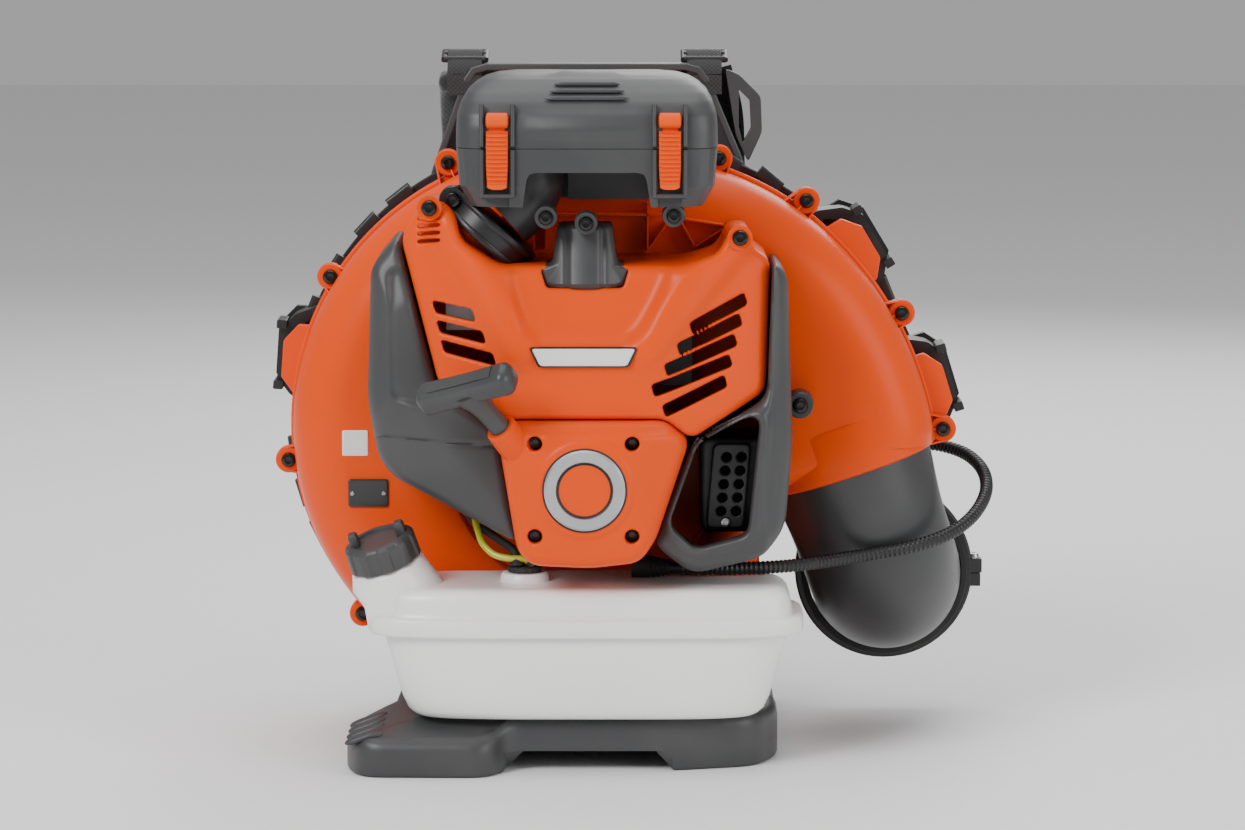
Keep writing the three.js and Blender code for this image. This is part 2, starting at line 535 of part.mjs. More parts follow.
// ---- Air outlet -----------------------------------------------------------------------------
function outletElbow() {
  const { bend, lead, stub } = OUTLET;
  const points = [outletPoint(-11), outletPoint(lead / 2)];
  const turnSteps = 6;
  for (let i = 0; i <= turnSteps; i += 1) {
    const angle = (i / turnSteps) * (Math.PI / 2);
    const [x, y, z] = outletPoint(lead + bend * Math.sin(angle));
    points.push([x, y + bend * (1 - Math.cos(angle)), z]);
  }
  const [x, y, z] = points.at(-1);
  points.push([x, y + stub, z]);
  const tube = swept(points, OUTLET.tube, { sides: 20, steps: 9, bore: OUTLET.tube - OUTLET.wall });
  add('outlet_elbow', tube, GREY);
  const ringOf = (from, to, outer, inner) =>
    cut(rod([x, from, z], [x, to, z], outer, 32), rod([x, from - 1, z], [x, to + 1, z], inner, 32));
  add('outlet_seal', ringOf(y - 4, y + 6, 60, 56.2), RUBBER);
  const lowerEar = block([x + 60, y + 7, z - 12], [x + 71, y + 18, z - 2.5]);
  const upperEar = block([x + 60, y + 7, z - 2], [x + 72, y + 18, z + 8]);
  add('hose_clamp', fuse(ringOf(y + 6.4, y + 19, 64, 56.2), lowerEar, upperEar), BLACK);
}

// ---- Fuel tank --------------------------------------------------------------------------------
const tankRing = (z, half, depth = TANK.depth, power = 5) =>
  softRing([0.5, TANK.middle, z], half, depth, power, 24);

function fuelTank() {
  const { top, bandTop, bandBottom, bottom, wall } = TANK;
  const tub = lofted([tankRing(bottom, 118, 46), tankRing(bottom + 7, 126, 50),
    tankRing(bandBottom - 0.2, 138, 53)]);
  const tubInside = lofted([tankRing(bottom + wall, 117, 45), tankRing(bottom + 9, 123, 47),
    tankRing(bandBottom + 1, 135, 50)]);
  add('tank_lower', cut(tub, tubInside), WHITE);
  const lid = lofted([tankRing(bandBottom + 0.2, 149.5, 55), tankRing(bandTop, 149, 55)]);
  const dome = lofted([tankRing(bandTop - 1, 142, 53), tankRing(top - 5, 138, 51), tankRing(top, 131, 45)]);
  const lidInside = lofted([tankRing(bandBottom - 1, 138, 50), tankRing(top - 7, 134, 47),
    tankRing(top - wall, 127, 42)]);
  const neckAxis = NECK_AXIS.map((value) => value * 30);
  const [x, y, z] = [CAP.x, CAP.y, CAP.z];
  const inside = [x - neckAxis[0], y - neckAxis[1], z - neckAxis[2]];
  const neck = rod(inside, [x, y, z], 24, 20, 18);
  const throat = rod([x - neckAxis[0] * 1.3, y - neckAxis[1] * 1.3, z - neckAxis[2] * 1.3],
    [x + neckAxis[0] * 0.1, y + neckAxis[1] * 0.1, z + neckAxis[2] * 0.1], 15, 20);
  const boss = rod([-42, 62, top - 2], [-42, 62, top + 6], 16.5, 20);
  const bossHole = rod([-42, 62, top - 8], [-42, 62, top + 8], 8, 12);
  const shell = cut(fuse(lid, dome, meet(neck, block([-200, 0, bandTop], [0, 120, 200])), boss), lidInside,
    throat, bossHole);
  add('tank_upper', shell, WHITE);
  add('tank_grommet', fuse(rod([-42, 62, top - 4], [-42, 62, top + 6.4], 7.6, 12),
    rod([-42, 62, top + 6.4], [-42, 62, top + 10], 12, 16)), RUBBER);
}

const NECK_AXIS = [-0.29, -0.24, 0.93];
function fuelCap() {
  const group = slanted([CAP.x, CAP.y, CAP.z], NECK_AXIS);
  const lugs = [0, 1].map((i) => block([-4 - 13 + i * 26, -3, 18], [4 - 13 + i * 26, 3, 25]));
  const ribs = Array.from({ length: 8 }, (_, i) => {
    const rib = new THREE.BoxGeometry(3, 9, 15).translate(CAP.radius, 0, 9).rotateZ((i / 8) * 2 * Math.PI);
    return solidOf(rib);
  });
  add('fuel_cap', fuse(rod([0, 0, 0.5], [0, 0, CAP.height], CAP.radius, 24), ...ribs, ...lugs), GREY, group);
}

function fuelHoses() {
  const { top } = TANK;
  add('fuel_hose', swept([[-47, 62, top + 11], [-49, 64, 146], [-60, 72, 154], [-74, 84, 162],
    [-84, 92, 172], [-90, 98, 186], [-93, 100, 200]], 2.8, { sides: 6, steps: 16 }), RUBBER);
  add('return_hose', swept([[-37, 62, top + 11.2], [-40, 65, 147], [-52, 75, 156], [-68, 88, 165],
    [-79, 97, 176], [-83, 102, 190], [-84, 103, 200]], 2.3, { sides: 6, steps: 16 }), FUEL_HOSE);
}

// ---- Base, back frame and harness ---------------------------------------------------------------
const BASE_PLAN = [[-165, 34], [-153, 4], [-66, 2], [-54, 28], [60, 28], [118, 44], [134, 80],
  [134, 240], [114, 261.9], [-114, 261.9], [-134, 240], [-137, 120], [-163, 98]];
function base() {
  const { top, rear, shoulder, toe, arch } = BASE;
  const front = [[-165, 0], [-57, 0], [-42, arch], [48, arch], [61, 0], [134, 0], [134, top],
    [-112, top], [-140, shoulder], [-165, toe]];
  const hollow = [[-161, -4], [-66, -4], [-46, arch + 4], [52, arch + 4], [70, -4], [130, -4],
    [130, top - 4], [-113, top - 4], [-141, shoulder - 4], [-161, toe - 4]];
  const outer = meet(high(outline(BASE_PLAN, 16), 0, 60), deep(outline(front, 4), -5, 300));
  const inner = meet(high(outline(offset(BASE_PLAN, -4), 14), -5, 60), deep(outline(hollow, 3), -5, 300));
  const cradle = block([-200, 121.5, rear], [200, 300, 80]);
  const cradleInside = block([-200, 117.5, rear - 4], [200, 300, 80]);
  add('base_foot', cut(outer, cradle, cut(inner, cradleInside)), GREY);
}

const FRAME_EDGE = [[-86, 474], [84, 474], [116, 398], [126, 300], [126, 60], [112, 0], [-112, 0],
  [-126, 60], [-126, 300], [-116, 388]];
function backFrame() {
  const { front, back } = FRAME;
  const plate = deep(outline(FRAME_EDGE, 12), back - 5, back);
  const inside = deep(outline(offset(FRAME_EDGE, -5), 10), front - 1, back);
  const rim = cut(deep(outline(FRAME_EDGE, 12), front, back - 4), inside);
  const ribs = [100, 200, 300, 400].map((z) => block([-122, front + 8, z - 2], [122, back - 4, z + 2]));
  const pads = MOUNT_SPOTS.map(([x, z]) => rod([x, front + 0.2, z], [x, back - 4, z], 17, 20));
  const ribsInside = ribs.map((rib) => meet(rib, deep(outline(offset(FRAME_EDGE, -2), 10), front, back)));
  add('back_frame', fuse(plate, rim, ...ribsInside, ...pads), GREY);
}

const MOUNT_SPOTS = [[-88, 110], [88, 110], [-88, 330], [88, 330]];
function vibrationMounts() {
  MOUNT_SPOTS.forEach(([x, z], i) => {
    const rubber = rod([x, SCROLL.back + GAP, z], [x, FRAME.front - 0.2, z], 12, 16);
    add(`vibration_mount_${i + 1}`, rubber, RUBBER);
  });
}

const SHOULDER = [[-82, 'left'], [80, 'right']];
function harness() {
  const face = FRAME.back + GAP;
  const pad = (low, high3) => {
    const [x0, , z0] = low;
    const [x1, , z1] = high3;
    return deep(outline([[x0, z0], [x1, z0], [x1, z1], [x0, z1]], 22), low[1], high3[1], 7);
  };
  add('back_pad', pad([-100, face, 205], [100, face + 26, 440]), FABRIC);
  add('lumbar_pad', pad([-112, face, 92], [112, face + 32, 196]), FABRIC);
  SHOULDER.forEach(([x, side]) => {
    const arc = [[face + 1, 464], [face + 30, 466], [face + 62, 430], [face + 76, 350], [face + 72, 260],
      [face + 44, 178], [face + 34, 170], [face + 58, 262], [face + 61, 350], [face + 48, 418],
      [face + 24, 450], [face + 1, 450]];
    add(`shoulder_strap_${side}`, wide(outline(arc, 5), x - 29, x + 29), FABRIC);
    const buckleX = x < 0 ? -89 : 85;
    const low = [buckleX - 15, FRAME.back - 14, FRAME.top + GAP];
    add(`top_buckle_${side}`, block(low, [buckleX + 15, FRAME.back + 8, FRAME.top + 9]), BLACK);
  });
  const wing = (sign) => {
    const edge = [[60, 84], [124, 84], [147, 68], [147, 36], [124, 16], [60, 16]];
    const turned = edge.map(([x, z]) => [sign * x, z]);
    return deep(outline(turned, 12), face, face + 22, 6);
  };
  add('hip_pad_left', wing(-1), FABRIC);
  add('hip_pad_right', wing(1), FABRIC);
}

// A six-sided loop on the frame's upper right corner.
function sideGrip() {
  const loop = [[100, 470], [110, 466], [126, 450], [127, 424], [117, 402], [108, 421]];
  const hole = [[110, 455], [118, 447], [119, 427], [113, 416], [110, 428]];
  add('side_grip', cut(deep(outline(loop, 3), 268, 280), deep(outline(hole, 1), 260, 290),
    deep(outline(offset(FRAME_EDGE, GAP), 12), 250, 300)), GREY);
}

// ---- Throttle cable and small plates ------------------------------------------------------------
// The cable leaves a gland under the engine, crosses the elbow, turns round its right side and
// runs back behind the housing to a socket on the frame.
const CABLE_ROUTE = [[52, 78, 133.7], [68, 78, 133.1], [90, 79, 132.6], [112, 82, 132.4], [134, 89, 132.4],
  [154, 100, 132.6], [172, 113, 133.2], [190, 123, 134.5], [208, 128.2, 136.6], [226, 131, 139.6],
  [244, 137, 143.4], [260, 148, 148.6], [273, 163, 155.6], [282, 180, 163.6], [287, 198, 172],
  [287, 216, 180], [282, 234, 187], [273, 249, 192], [260, 260, 195], [244, 266, 196.4], [226, 268.6, 197],
  [208, 269.4, 197], [190, 269.8, 197], [172, 270, 197], [158, 270, 197], [147, 270, 197]];
function throttleCable() {
  add('throttle_cable', swept(CABLE_ROUTE, 4.75, { sides: 8, steps: 40 }), BLACK);
  add('cable_gland', rod([36, 78, 134.4], [51.6, 78, 133.7], 5.9, 12), BLACK);
  add('cable_socket', rod([126.6, 270, 197], [146.6, 270, 197], 7.6, 12), BLACK);
}

function plates() {
  const at = (y) => [0, y, SHAFT.z - 5];
  const disc = rod(at(STARTER.front - 2), at(STARTER.front - 0.4), 27, 32);
  add('emblem_ring', cut(disc, rod(at(STARTER.front - 3), at(STARTER.front + 1), 20, 32)), SILVER);
  const plate = [[-167, 168], [-139, 168], [-139, 188], [-167, 188]];
  add('rating_plate', deep(outline(plate, 2), 119.6, 121.6), BLACK);
}

fanHousing();
intakeGuard();
rotor();
recoilStarter();
engine();
engineCovers();
starterPull();
snorkelCover();
muffler();
airFilter();
latches();
intakeDuct();
outletElbow();
fuelTank();
fuelCap();
fuelHoses();
base();
backFrame();
vibrationMounts();
harness();
sideGrip();
throttleCable();
plates();

export default blower;
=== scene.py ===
"""Backpack leaf blower: the visual model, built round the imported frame."""
import json
import logging
import math
from dataclasses import dataclass
from enum import Enum
from typing import Callable, Iterable, Sequence

import bmesh
import bpy
import numpy as np
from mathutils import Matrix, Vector


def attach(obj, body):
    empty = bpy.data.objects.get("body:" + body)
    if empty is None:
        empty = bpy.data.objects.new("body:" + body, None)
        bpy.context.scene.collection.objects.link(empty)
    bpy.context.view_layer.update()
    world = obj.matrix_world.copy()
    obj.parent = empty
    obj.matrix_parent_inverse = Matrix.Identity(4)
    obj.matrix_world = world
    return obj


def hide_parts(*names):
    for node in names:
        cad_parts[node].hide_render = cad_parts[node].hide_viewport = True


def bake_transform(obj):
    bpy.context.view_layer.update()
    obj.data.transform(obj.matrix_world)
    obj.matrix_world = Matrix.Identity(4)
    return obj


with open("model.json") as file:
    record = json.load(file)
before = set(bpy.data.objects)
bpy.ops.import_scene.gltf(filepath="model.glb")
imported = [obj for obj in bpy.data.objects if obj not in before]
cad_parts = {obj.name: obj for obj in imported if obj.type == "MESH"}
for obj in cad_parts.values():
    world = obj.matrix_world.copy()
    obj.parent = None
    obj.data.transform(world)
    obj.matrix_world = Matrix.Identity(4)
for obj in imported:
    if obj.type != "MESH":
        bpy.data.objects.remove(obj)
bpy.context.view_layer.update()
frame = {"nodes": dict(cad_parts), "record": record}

log = logging.getLogger("leaf_blower")
JOINTS = {joint["name"]: joint for joint in frame["record"]["behaviour"]["joints"]}
SHAFT = np.array(JOINTS["rotor_spin"]["pos_m"])
SHAFT_DRAWN = np.array([0.0, 166.0, 205.0])
Points = Sequence[Sequence[float]]
Height = Callable[[np.ndarray, np.ndarray], np.ndarray]
MERGE_DISTANCE = 1e-6  # metres, the same for all meshes
FLOOR_DROP = 0.0004  # metres between the floor and the base, so that the two don't flicker
CUSHION_GRID = 0.005  # metres, the size of a cushion's squares before it is blown up
CUSHION_SWELL = 0.004  # metres, the most that a cushion's point may move
CLOTH_FRAMES = 14


def to_frame(points: np.ndarray) -> np.ndarray:
    """Turn drawing millimetres into the frame's metres, by the shaft's place in both.

    Args:
        points: An array whose last axis is x, y, z in millimetres.

    Returns:
        The same points in metres, in the frame.
    """
    return (np.asarray(points, float) - SHAFT_DRAWN) / 1000.0 + SHAFT


# ---- Finishes ---------------------------------------------------------------------------------
class Value:
    """A shader socket that ordinary arithmetic can be written with."""

    def __init__(self, lab: "Lab", socket: bpy.types.NodeSocket) -> None:
        """Wrap one output socket of a material's node tree.

        Args:
            lab: The material that it belongs to.
            socket: The output socket.
        """
        self.lab = lab
        self.socket = socket

    def _math(self, operation: str, first: object, second: object) -> "Value":
        """Add a Math node for one operation on two values.

        Args:
            operation: The Math node's operation.
            first: A number or a Value.
            second: A number or a Value.

        Returns:
            The node's output.
        """
        return self.lab.node("ShaderNodeMath", {"operation": operation}, {0: first, 1: second})

    def __add__(self, other: object) -> "Value":
        """Add."""
        return self._math("ADD", self, other)

    def __sub__(self, other: object) -> "Value":
        """Subtract."""
        return self._math("SUBTRACT", self, other)

    def __rsub__(self, other: object) -> "Value":
        """Subtract this from a number."""
        return self._math("SUBTRACT", other, self)

    def __mul__(self, other: object) -> "Value":
        """Multiply."""
        return self._math("MULTIPLY", self, other)

    __radd__ = __add__
    __rmul__ = __mul__


class Lab:
    """Builds one material's nodes round its Principled shader."""

    def __init__(self, name: str) -> None:
        """Start a material with an empty node tree but for the shader and the output.

        Args:
            name: The material's name.
        """
        self.material = bpy.data.materials.new(name)
        self.material.use_nodes = True
        self.tree = self.material.node_tree
        self.shader = self.tree.nodes["Principled BSDF"]

    def node(self, kind: str, settings: dict, inputs: dict, output: object = 0) -> Value:
        """Add a node.

        Args:
            kind: The node's type name.
            settings: Its properties by name; "stops" holds a ramp's stops.
            inputs: A number, a colour or a Value for each socket, by name or place.
            output: The name or place of the socket to give back.

        Returns:
            The node's output.
        """
        node = self.tree.nodes.new(kind)
        for key, value in settings.items():
            if key == "stops":
                self._set_stops(node.color_ramp, value)
            else:
                setattr(node, key, value)
        for key, value in inputs.items():
            if isinstance(value, Value):
                self.tree.links.new(value.socket, node.inputs[key])
            else:
                node.inputs[key].default_value = value
        return Value(self, node.outputs[output])

    @staticmethod
    def _set_stops(ramp: bpy.types.ColorRamp, stops: Points) -> None:
        """Set a ramp's places and grey levels.

        Args:
            ramp: The ramp.
            stops: A place and a level from 0 to 1 for each stop.
        """
        for element, (place, level) in zip(ramp.elements, stops):
            element.position = place
            element.color = (level, level, level, 1.0)

    def where(self) -> Value:
        """Object coordinates."""
        return self.node("ShaderNodeTexCoord", {}, {}, "Object")

    def along(self) -> Value:
        """The piece's own UV map, in metres."""
        return self.node("ShaderNodeTexCoord", {}, {}, "UV")

    def noise(self, where: Value, scale: float, detail: float = 3.0) -> Value:
        """A noise from 0 to 1 with a number of patches per metre.

        Args:
            where: The coordinates, in metres.
            scale: Patches per metre.
            detail: How many finer layers are added.

        Returns:
            The noise.
        """
        inputs = {"Vector": where, "Scale": scale, "Detail": detail, "Roughness": 0.55}
        return self.node("ShaderNodeTexNoise", {}, inputs, 0)

    def ramp(self, value: Value, low: float, high: float) -> Value:
        """Stretch the part of a value between two levels over 0 to 1.

        Args:
            value: The value.
            low: The level that becomes 0.
            high: The level that becomes 1.

        Returns:
            The stretched value, held at 0 and 1 outside the levels.
        """
        return self.node("ShaderNodeValToRGB", {"stops": [(low, 0.0), (high, 1.0)]}, {0: value}, 0)

    def mix(self, first: object, second: object, factor: object) -> Value:
        """Blend two colours.

        Args:
            first: A colour or a Value.
            second: A colour or a Value.
            factor: How much of the second, from 0 to 1.

        Returns:
            The blend.
        """
        return self.node("ShaderNodeMix", {"data_type": "RGBA"}, {0: factor, 6: first, 7: second}, 2)

    def stretch(self, where: Value, scale: Sequence[float]) -> Value:
        """Scale coordinates differently along each axis.

        Args:
            where: The coordinates.
            scale: A factor for each axis.

        Returns:
            The scaled coordinates.
        """
        return self.node("ShaderNodeMapping", {}, {"Vector": where, "Scale": scale}, 0)

    def feed(self, **inputs: object) -> None:
        """Set or link the shader's own sockets; an underscore stands for a space.

        Args:
            **inputs: A number, a colour or a Value for each socket.
        """
        for key, value in inputs.items():
            socket = self.shader.inputs[key.replace("_", " ")]
            if isinstance(value, Value):
                self.tree.links.new(value.socket, socket)
            else:
                socket.default_value = value

    def bump(self, height: Value, depth: float, strength: float = 1.0) -> Value:
        """Turn a height from 0 to 1 into a normal, for a depth in metres.

        Args:
            height: The height.
            depth: How far 1 stands above 0, in metres.
            strength: How much of the effect is kept.

        Returns:
            The normal.
        """
        return self.node("ShaderNodeBump", {}, {"Height": height, "Distance": depth, "Strength": strength},
                         0)


def rgba(colour: Sequence[float], gain: float = 1.0) -> tuple:
    """A colour with its alpha, made lighter or darker.

    Args:
        colour: Red, green and blue.
        gain: The factor that they are multiplied by.

    Returns:
        Red, green, blue and alpha.
    """
    return (*(min(1.0, channel * gain) for channel in colour), 1.0)


@dataclass(frozen=True)
class Moulded:
    """Injection-moulded plastic: an even colour, a fine grain, and a little dust and handling wear."""

    name: str
    slot: str
    colour: tuple
    roughness: float
    grain_per_m: float = 1400.0
    grain_depth: float = 0.00004
    coat: float = 0.0
    metallic: float = 0.0
    dust: float = 0.06
    glow: float = 0.0
    shine: float = 0.5

    def make(self) -> bpy.types.Material:
        """Build the material.

        Returns:
            The finished material.
        """
        lab = Lab(self.name)
        where = lab.where()
        patches = lab.noise(where, 11.0, 4.0)
        grain = lab.noise(where, self.grain_per_m, 2.0)
        rubs = lab.ramp(lab.noise(lab.stretch(where, (40.0, 40.0, 260.0)), 1.0, 5.0), 0.60, 0.78)
        tone = lab.mix(rgba(self.colour, 0.93), rgba(self.colour, 1.06), patches)
        settled = lab.ramp(patches, 0.45, 0.85) * self.dust
        colour = lab.mix(tone, rgba((0.52, 0.49, 0.44)), settled)
        rough = grain * 0.06 + rubs * 0.10 + settled * 0.5 + (self.roughness - 0.05)
        lab.feed(Base_Color=colour, Roughness=rough, Coat_Weight=self.coat, Coat_Roughness=0.12)
        lab.feed(Metallic=self.metallic, IOR=1.48, Specular_IOR_Level=self.shine,
                 Normal=lab.bump(grain, self.grain_depth))
        if self.glow > 0:
            lab.feed(Subsurface_Weight=self.glow, Subsurface_Radius=(0.02, 0.02, 0.018),
                     Subsurface_Scale=0.6)
        return lab.material


@dataclass(frozen=True)
class Metal:
    """Cast, ground or plated metal with fine brushing."""

    name: str
    slot: str
    colour: tuple
    roughness: float
    brush: tuple = (900.0, 60.0, 900.0)
    depth: float = 0.00003

    def make(self) -> bpy.types.Material:
        """Build the material.

        Returns:
            The finished material.
        """
        lab = Lab(self.name)
        where = lab.where()
        strokes = lab.noise(lab.stretch(where, self.brush), 1.0, 4.0)
        stain = lab.noise(where, 45.0, 5.0)
        colour = lab.mix(rgba(self.colour, 0.8), rgba(self.colour, 1.1), stain)
        lab.feed(Base_Color=colour, Metallic=1.0,
                 Roughness=strokes * 0.18 + stain * 0.12 + (self.roughness - 0.15))
        lab.feed(Normal=lab.bump(strokes, self.depth))
        return lab.material


@dataclass(frozen=True)
class Woven:
    """Woven nylon: two crossing sets of yarns, with fuzz; webbing follows its own strip."""

    name: str
    slot: str
    colour: tuple
    yarns_per_m: float = 520.0
    on_strip: bool = False
    depth: float = 0.0004
    sheen: float = 0.25

    def make(self) -> bpy.types.Material:
        """Build the material.

        Returns:
            The finished material.
        """
        lab = Lab(self.name)
        where = lab.along() if self.on_strip else lab.where()
        turn = math.pi * self.yarns_per_m
        parts = [lab.node("ShaderNodeSeparateXYZ", {}, {0: where}, axis) for axis in ("X",
                "Y" if self.on_strip else "Z")]
        waves = [lab.node("ShaderNodeMath", {"operation": "SINE"}, {0: part * turn}) for part in parts]
        weave = waves[0] * waves[1] * 0.5 + 0.5
        fuzz = lab.noise(where, 900.0, 4.0)
        wear = lab.noise(where, 14.0, 5.0)
        height = weave * 0.7 + fuzz * 0.3
        colour = lab.mix(rgba(self.colour, 0.55), rgba(self.colour, 1.7), height)
        faded = lab.mix(colour, rgba((0.11, 0.11, 0.115)), lab.ramp(wear, 0.5, 0.9) * 0.35)
        lab.feed(Base_Color=faded, Roughness=fuzz * 0.1 + 0.82, Sheen_Weight=self.sheen, Sheen_Roughness=0.5)
        lab.feed(Normal=lab.bump(height, self.depth, 0.8))
        return lab.material


class Look(Enum):
    """Every finish on the machine."""

    ORANGE = Moulded("orange_moulding", "orange_plastic", (0.80, 0.066, 0.0), 0.34, 900.0, 0.00001, dust=0.0,
                     shine=0.15)
    ORANGE_LATCH = Moulded("orange_latch", "orange_plastic", (0.84, 0.082, 0.0), 0.40, 1600.0, 0.00003,
                           dust=0.0, shine=0.15)
    GREY = Moulded("grey_moulding", "grey_plastic", (0.043, 0.044, 0.046), 0.44, 1500.0, 0.00006, dust=0.04)
    GREY_SMOOTH = Moulded("grey_smooth", "grey_plastic", (0.042, 0.043, 0.045), 0.38, 1800.0, 0.00003,
                          dust=0.04)
    BLACK = Moulded("black_moulding", "black_plastic", (0.012, 0.012, 0.013), 0.38, 1500.0, 0.00004)
    BLACK_PAINT = Moulded("muffler_paint", "black_paint", (0.015, 0.015, 0.016), 0.42, 700.0, 0.00005,
                          dust=0.12)
    TANK = Moulded("tank_moulding", "tank_plastic", (0.90, 0.90, 0.885), 0.34, 1100.0, 0.00002, 0.2,
                   glow=0.2, dust=0.02)
    RUBBER = Moulded("black_rubber", "rubber", (0.016, 0.016, 0.016), 0.68, 1900.0, 0.00005)
    CONDUIT = Moulded("cable_conduit", "cable_sleeve", (0.012, 0.012, 0.013), 0.40, 1700.0, 0.00003)
    FUEL_HOSE = Moulded("clear_fuel_hose", "clear_hose", (0.55, 0.56, 0.03), 0.25, 800.0, 0.00001, 0.5)
    SCREW = Moulded("screw_black", "black_plastic", (0.004, 0.004, 0.004), 0.22, 1500.0, 0.00002, dust=0.0)
    # Near-black matte finish: painted shade for the dark inside of the muffler screen's holes.
    HOLE_SHADE = Moulded("painted_hole_shade", "black_paint", (0.002, 0.002, 0.002), 0.9, 900.0, 0.00004, dust=0.0,
                   shine=0.1)
    LABEL = Moulded("white_label", "tank_plastic", (0.78, 0.78, 0.76), 0.5, 1500.0, 0.00001)
    PLATE = Moulded("data_plate", "black_plastic", (0.010, 0.010, 0.011), 0.33, 1500.0, 0.00002, 0.3)
    SILVER = Metal("silver_badge", "silver_trim", (0.56, 0.57, 0.58), 0.42, (700.0, 60.0, 60.0))
    STEEL = Metal("machined_steel", "steel", (0.50, 0.50, 0.51), 0.30)
    ALUMINIUM = Metal("die_cast", "aluminium", (0.60, 0.60, 0.61), 0.45, (260.0, 260.0, 260.0), 0.00012)
    FABRIC = Woven("pad_fabric", "harness_fabric", (0.020, 0.020, 0.022))
    WEBBING = Woven("webbing", "harness_fabric", (0.018, 0.018, 0.019), 620.0, True, 0.0005, 0.15)
    ROPE = Woven("starter_rope", "rope", (0.55, 0.55, 0.52), 700.0, False, 0.0003)
    PAPER = Woven("filter_paper", "filter_paper", (0.42, 0.37, 0.25), 240.0, False, 0.0005, 0.0)


MATERIALS: dict = {}


def paint(target: bpy.types.Object, look: Look) -> None:
    """Give an object its material, which is made the first time that it is needed.

    Args:
        target: The object.
        look: Its finish.
    """
    if look not in MATERIALS:
        MATERIALS[look] = look.value.make()
    target.data.materials.clear()
    target.data.materials.append(MATERIALS[look])


def dress(target: bpy.types.Object, look: Look) -> None:
    """Give a piece its finish."""
    paint(target, look)


# ---- Surfaces ---------------------------------------------------------------------------------
@dataclass
class Surface:
    """A mesh in drawing millimetres: its points, its faces and, where it has one, a UV for each point."""

    points: np.ndarray
    faces: list
    uv: np.ndarray | None = None

    def plus(self, *others: "Surface") -> "Surface":
        """Join surfaces into one mesh.

        Args:
            *others: The surfaces to add; UVs are dropped.

        Returns:
            One surface with all the points and faces.
        """
        points, faces = [self.points], [tuple(face) for face in self.faces]
        count = len(self.points)
        for other in others:
            faces += [tuple(index + count for index in face) for face in other.faces]
            points.append(other.points)
            count += len(other.points)
        return Surface(np.concatenate(points), faces)


def face_outwards(mesh: bpy.types.Mesh) -> None:
    """Merge a mesh's doubled points and turn all its faces outwards.

    Args:
        mesh: The mesh, changed in place.
    """
    work = bmesh.new()
    work.from_mesh(mesh)
    bmesh.ops.remove_doubles(work, verts=work.verts, dist=MERGE_DISTANCE)
    bmesh.ops.recalc_face_normals(work, faces=work.faces)
    work.to_mesh(mesh)
    work.free()


def piece(name: str, surface: Surface, look: Look, body: str = "root", stands_for: Iterable[str] = (),
          sharp: float = 35.0) -> bpy.types.Object:
    """Make a surface into a piece of the machine, with all its faces turned outwards.

    Args:
        name: The piece's name.
        surface: Its mesh in drawing millimetres.
        look: Its finish.
        body: The body that it rides on.
        stands_for: The CAD nodes that it replaces.
        sharp: The angle between faces above which an edge is drawn sharp, in degrees.

    Returns:
        The new object.
    """
    mesh = bpy.data.meshes.new(name)
    mesh.from_pydata(to_frame(surface.points).tolist(), [],
                     [tuple(int(i) for i in face) for face in surface.faces])
    if surface.uv is not None:
        layer = mesh.uv_layers.new(name="along")
        corner = np.zeros(len(mesh.loops), int)
        mesh.loops.foreach_get("vertex_index", corner)
        layer.data.foreach_set("uv", surface.uv[corner].astype(np.float32).ravel())
    face_outwards(mesh)
    mesh.polygons.foreach_set("use_smooth", np.ones(len(mesh.polygons), bool))
    mesh.set_sharp_from_angle(angle=math.radians(sharp))
    made = bpy.data.objects.new(name, mesh)
    bpy.context.scene.collection.objects.link(made)
    dress(made, look)
    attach(made, body)
    if stands_for:
        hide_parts(*stands_for)
    log.info("%s: %d faces", name, len(mesh.polygons))
    return made


def grid_faces(rows: int, columns: int) -> list:
    """Quads of a grid of points, row by row, whose last column joins the first.

    Args:
        rows: How many rows.
        columns: How many points there are in a row.

    Returns:
        Four point numbers for each quad.
    """
    row = np.arange(rows - 1)[:, None] * columns
    column = np.arange(columns)[None, :]
    after = (column + 1) % columns
    quads = np.stack([row + column, row + after, row + columns + after, row + columns + column], axis=-1)
    return [tuple(quad) for quad in quads.reshape(-1, 4).tolist()]


def loft(rings: np.ndarray, capped: bool = True, uv: np.ndarray | None = None) -> Surface:
    """A skin over rings of points: rows are rings, columns run round each, and flat caps close both ends.

    Args:
        rings: Points by ring, place in the ring, and axis.
        capped: Whether the ends are closed.
        uv: A UV for each point.

    Returns:
        The surface.
    """
    rows, columns = rings.shape[:2]
    faces = grid_faces(rows, columns)
    if capped:
        faces.append(tuple(range(columns - 1, -1, -1)))
        faces.append(tuple(range((rows - 1) * columns, rows * columns)))
    return Surface(rings.reshape(-1, 3), faces, uv)


def axes_for(direction: Sequence[float]) -> tuple:
    """Two unit vectors square to a direction and to each other.

    Args:
        direction: The direction, of any length.

    Returns:
        The two vectors, and the direction as a unit vector.
    """
    along = np.asarray(direction, float) / np.linalg.norm(direction)
    helper = np.array([0.0, 0.0, 1.0]) if abs(along[2]) < 0.9 else np.array([1.0, 0.0, 0.0])
    first = np.cross(helper, along)
    first /= np.linalg.norm(first)
    return first, np.cross(along, first), along


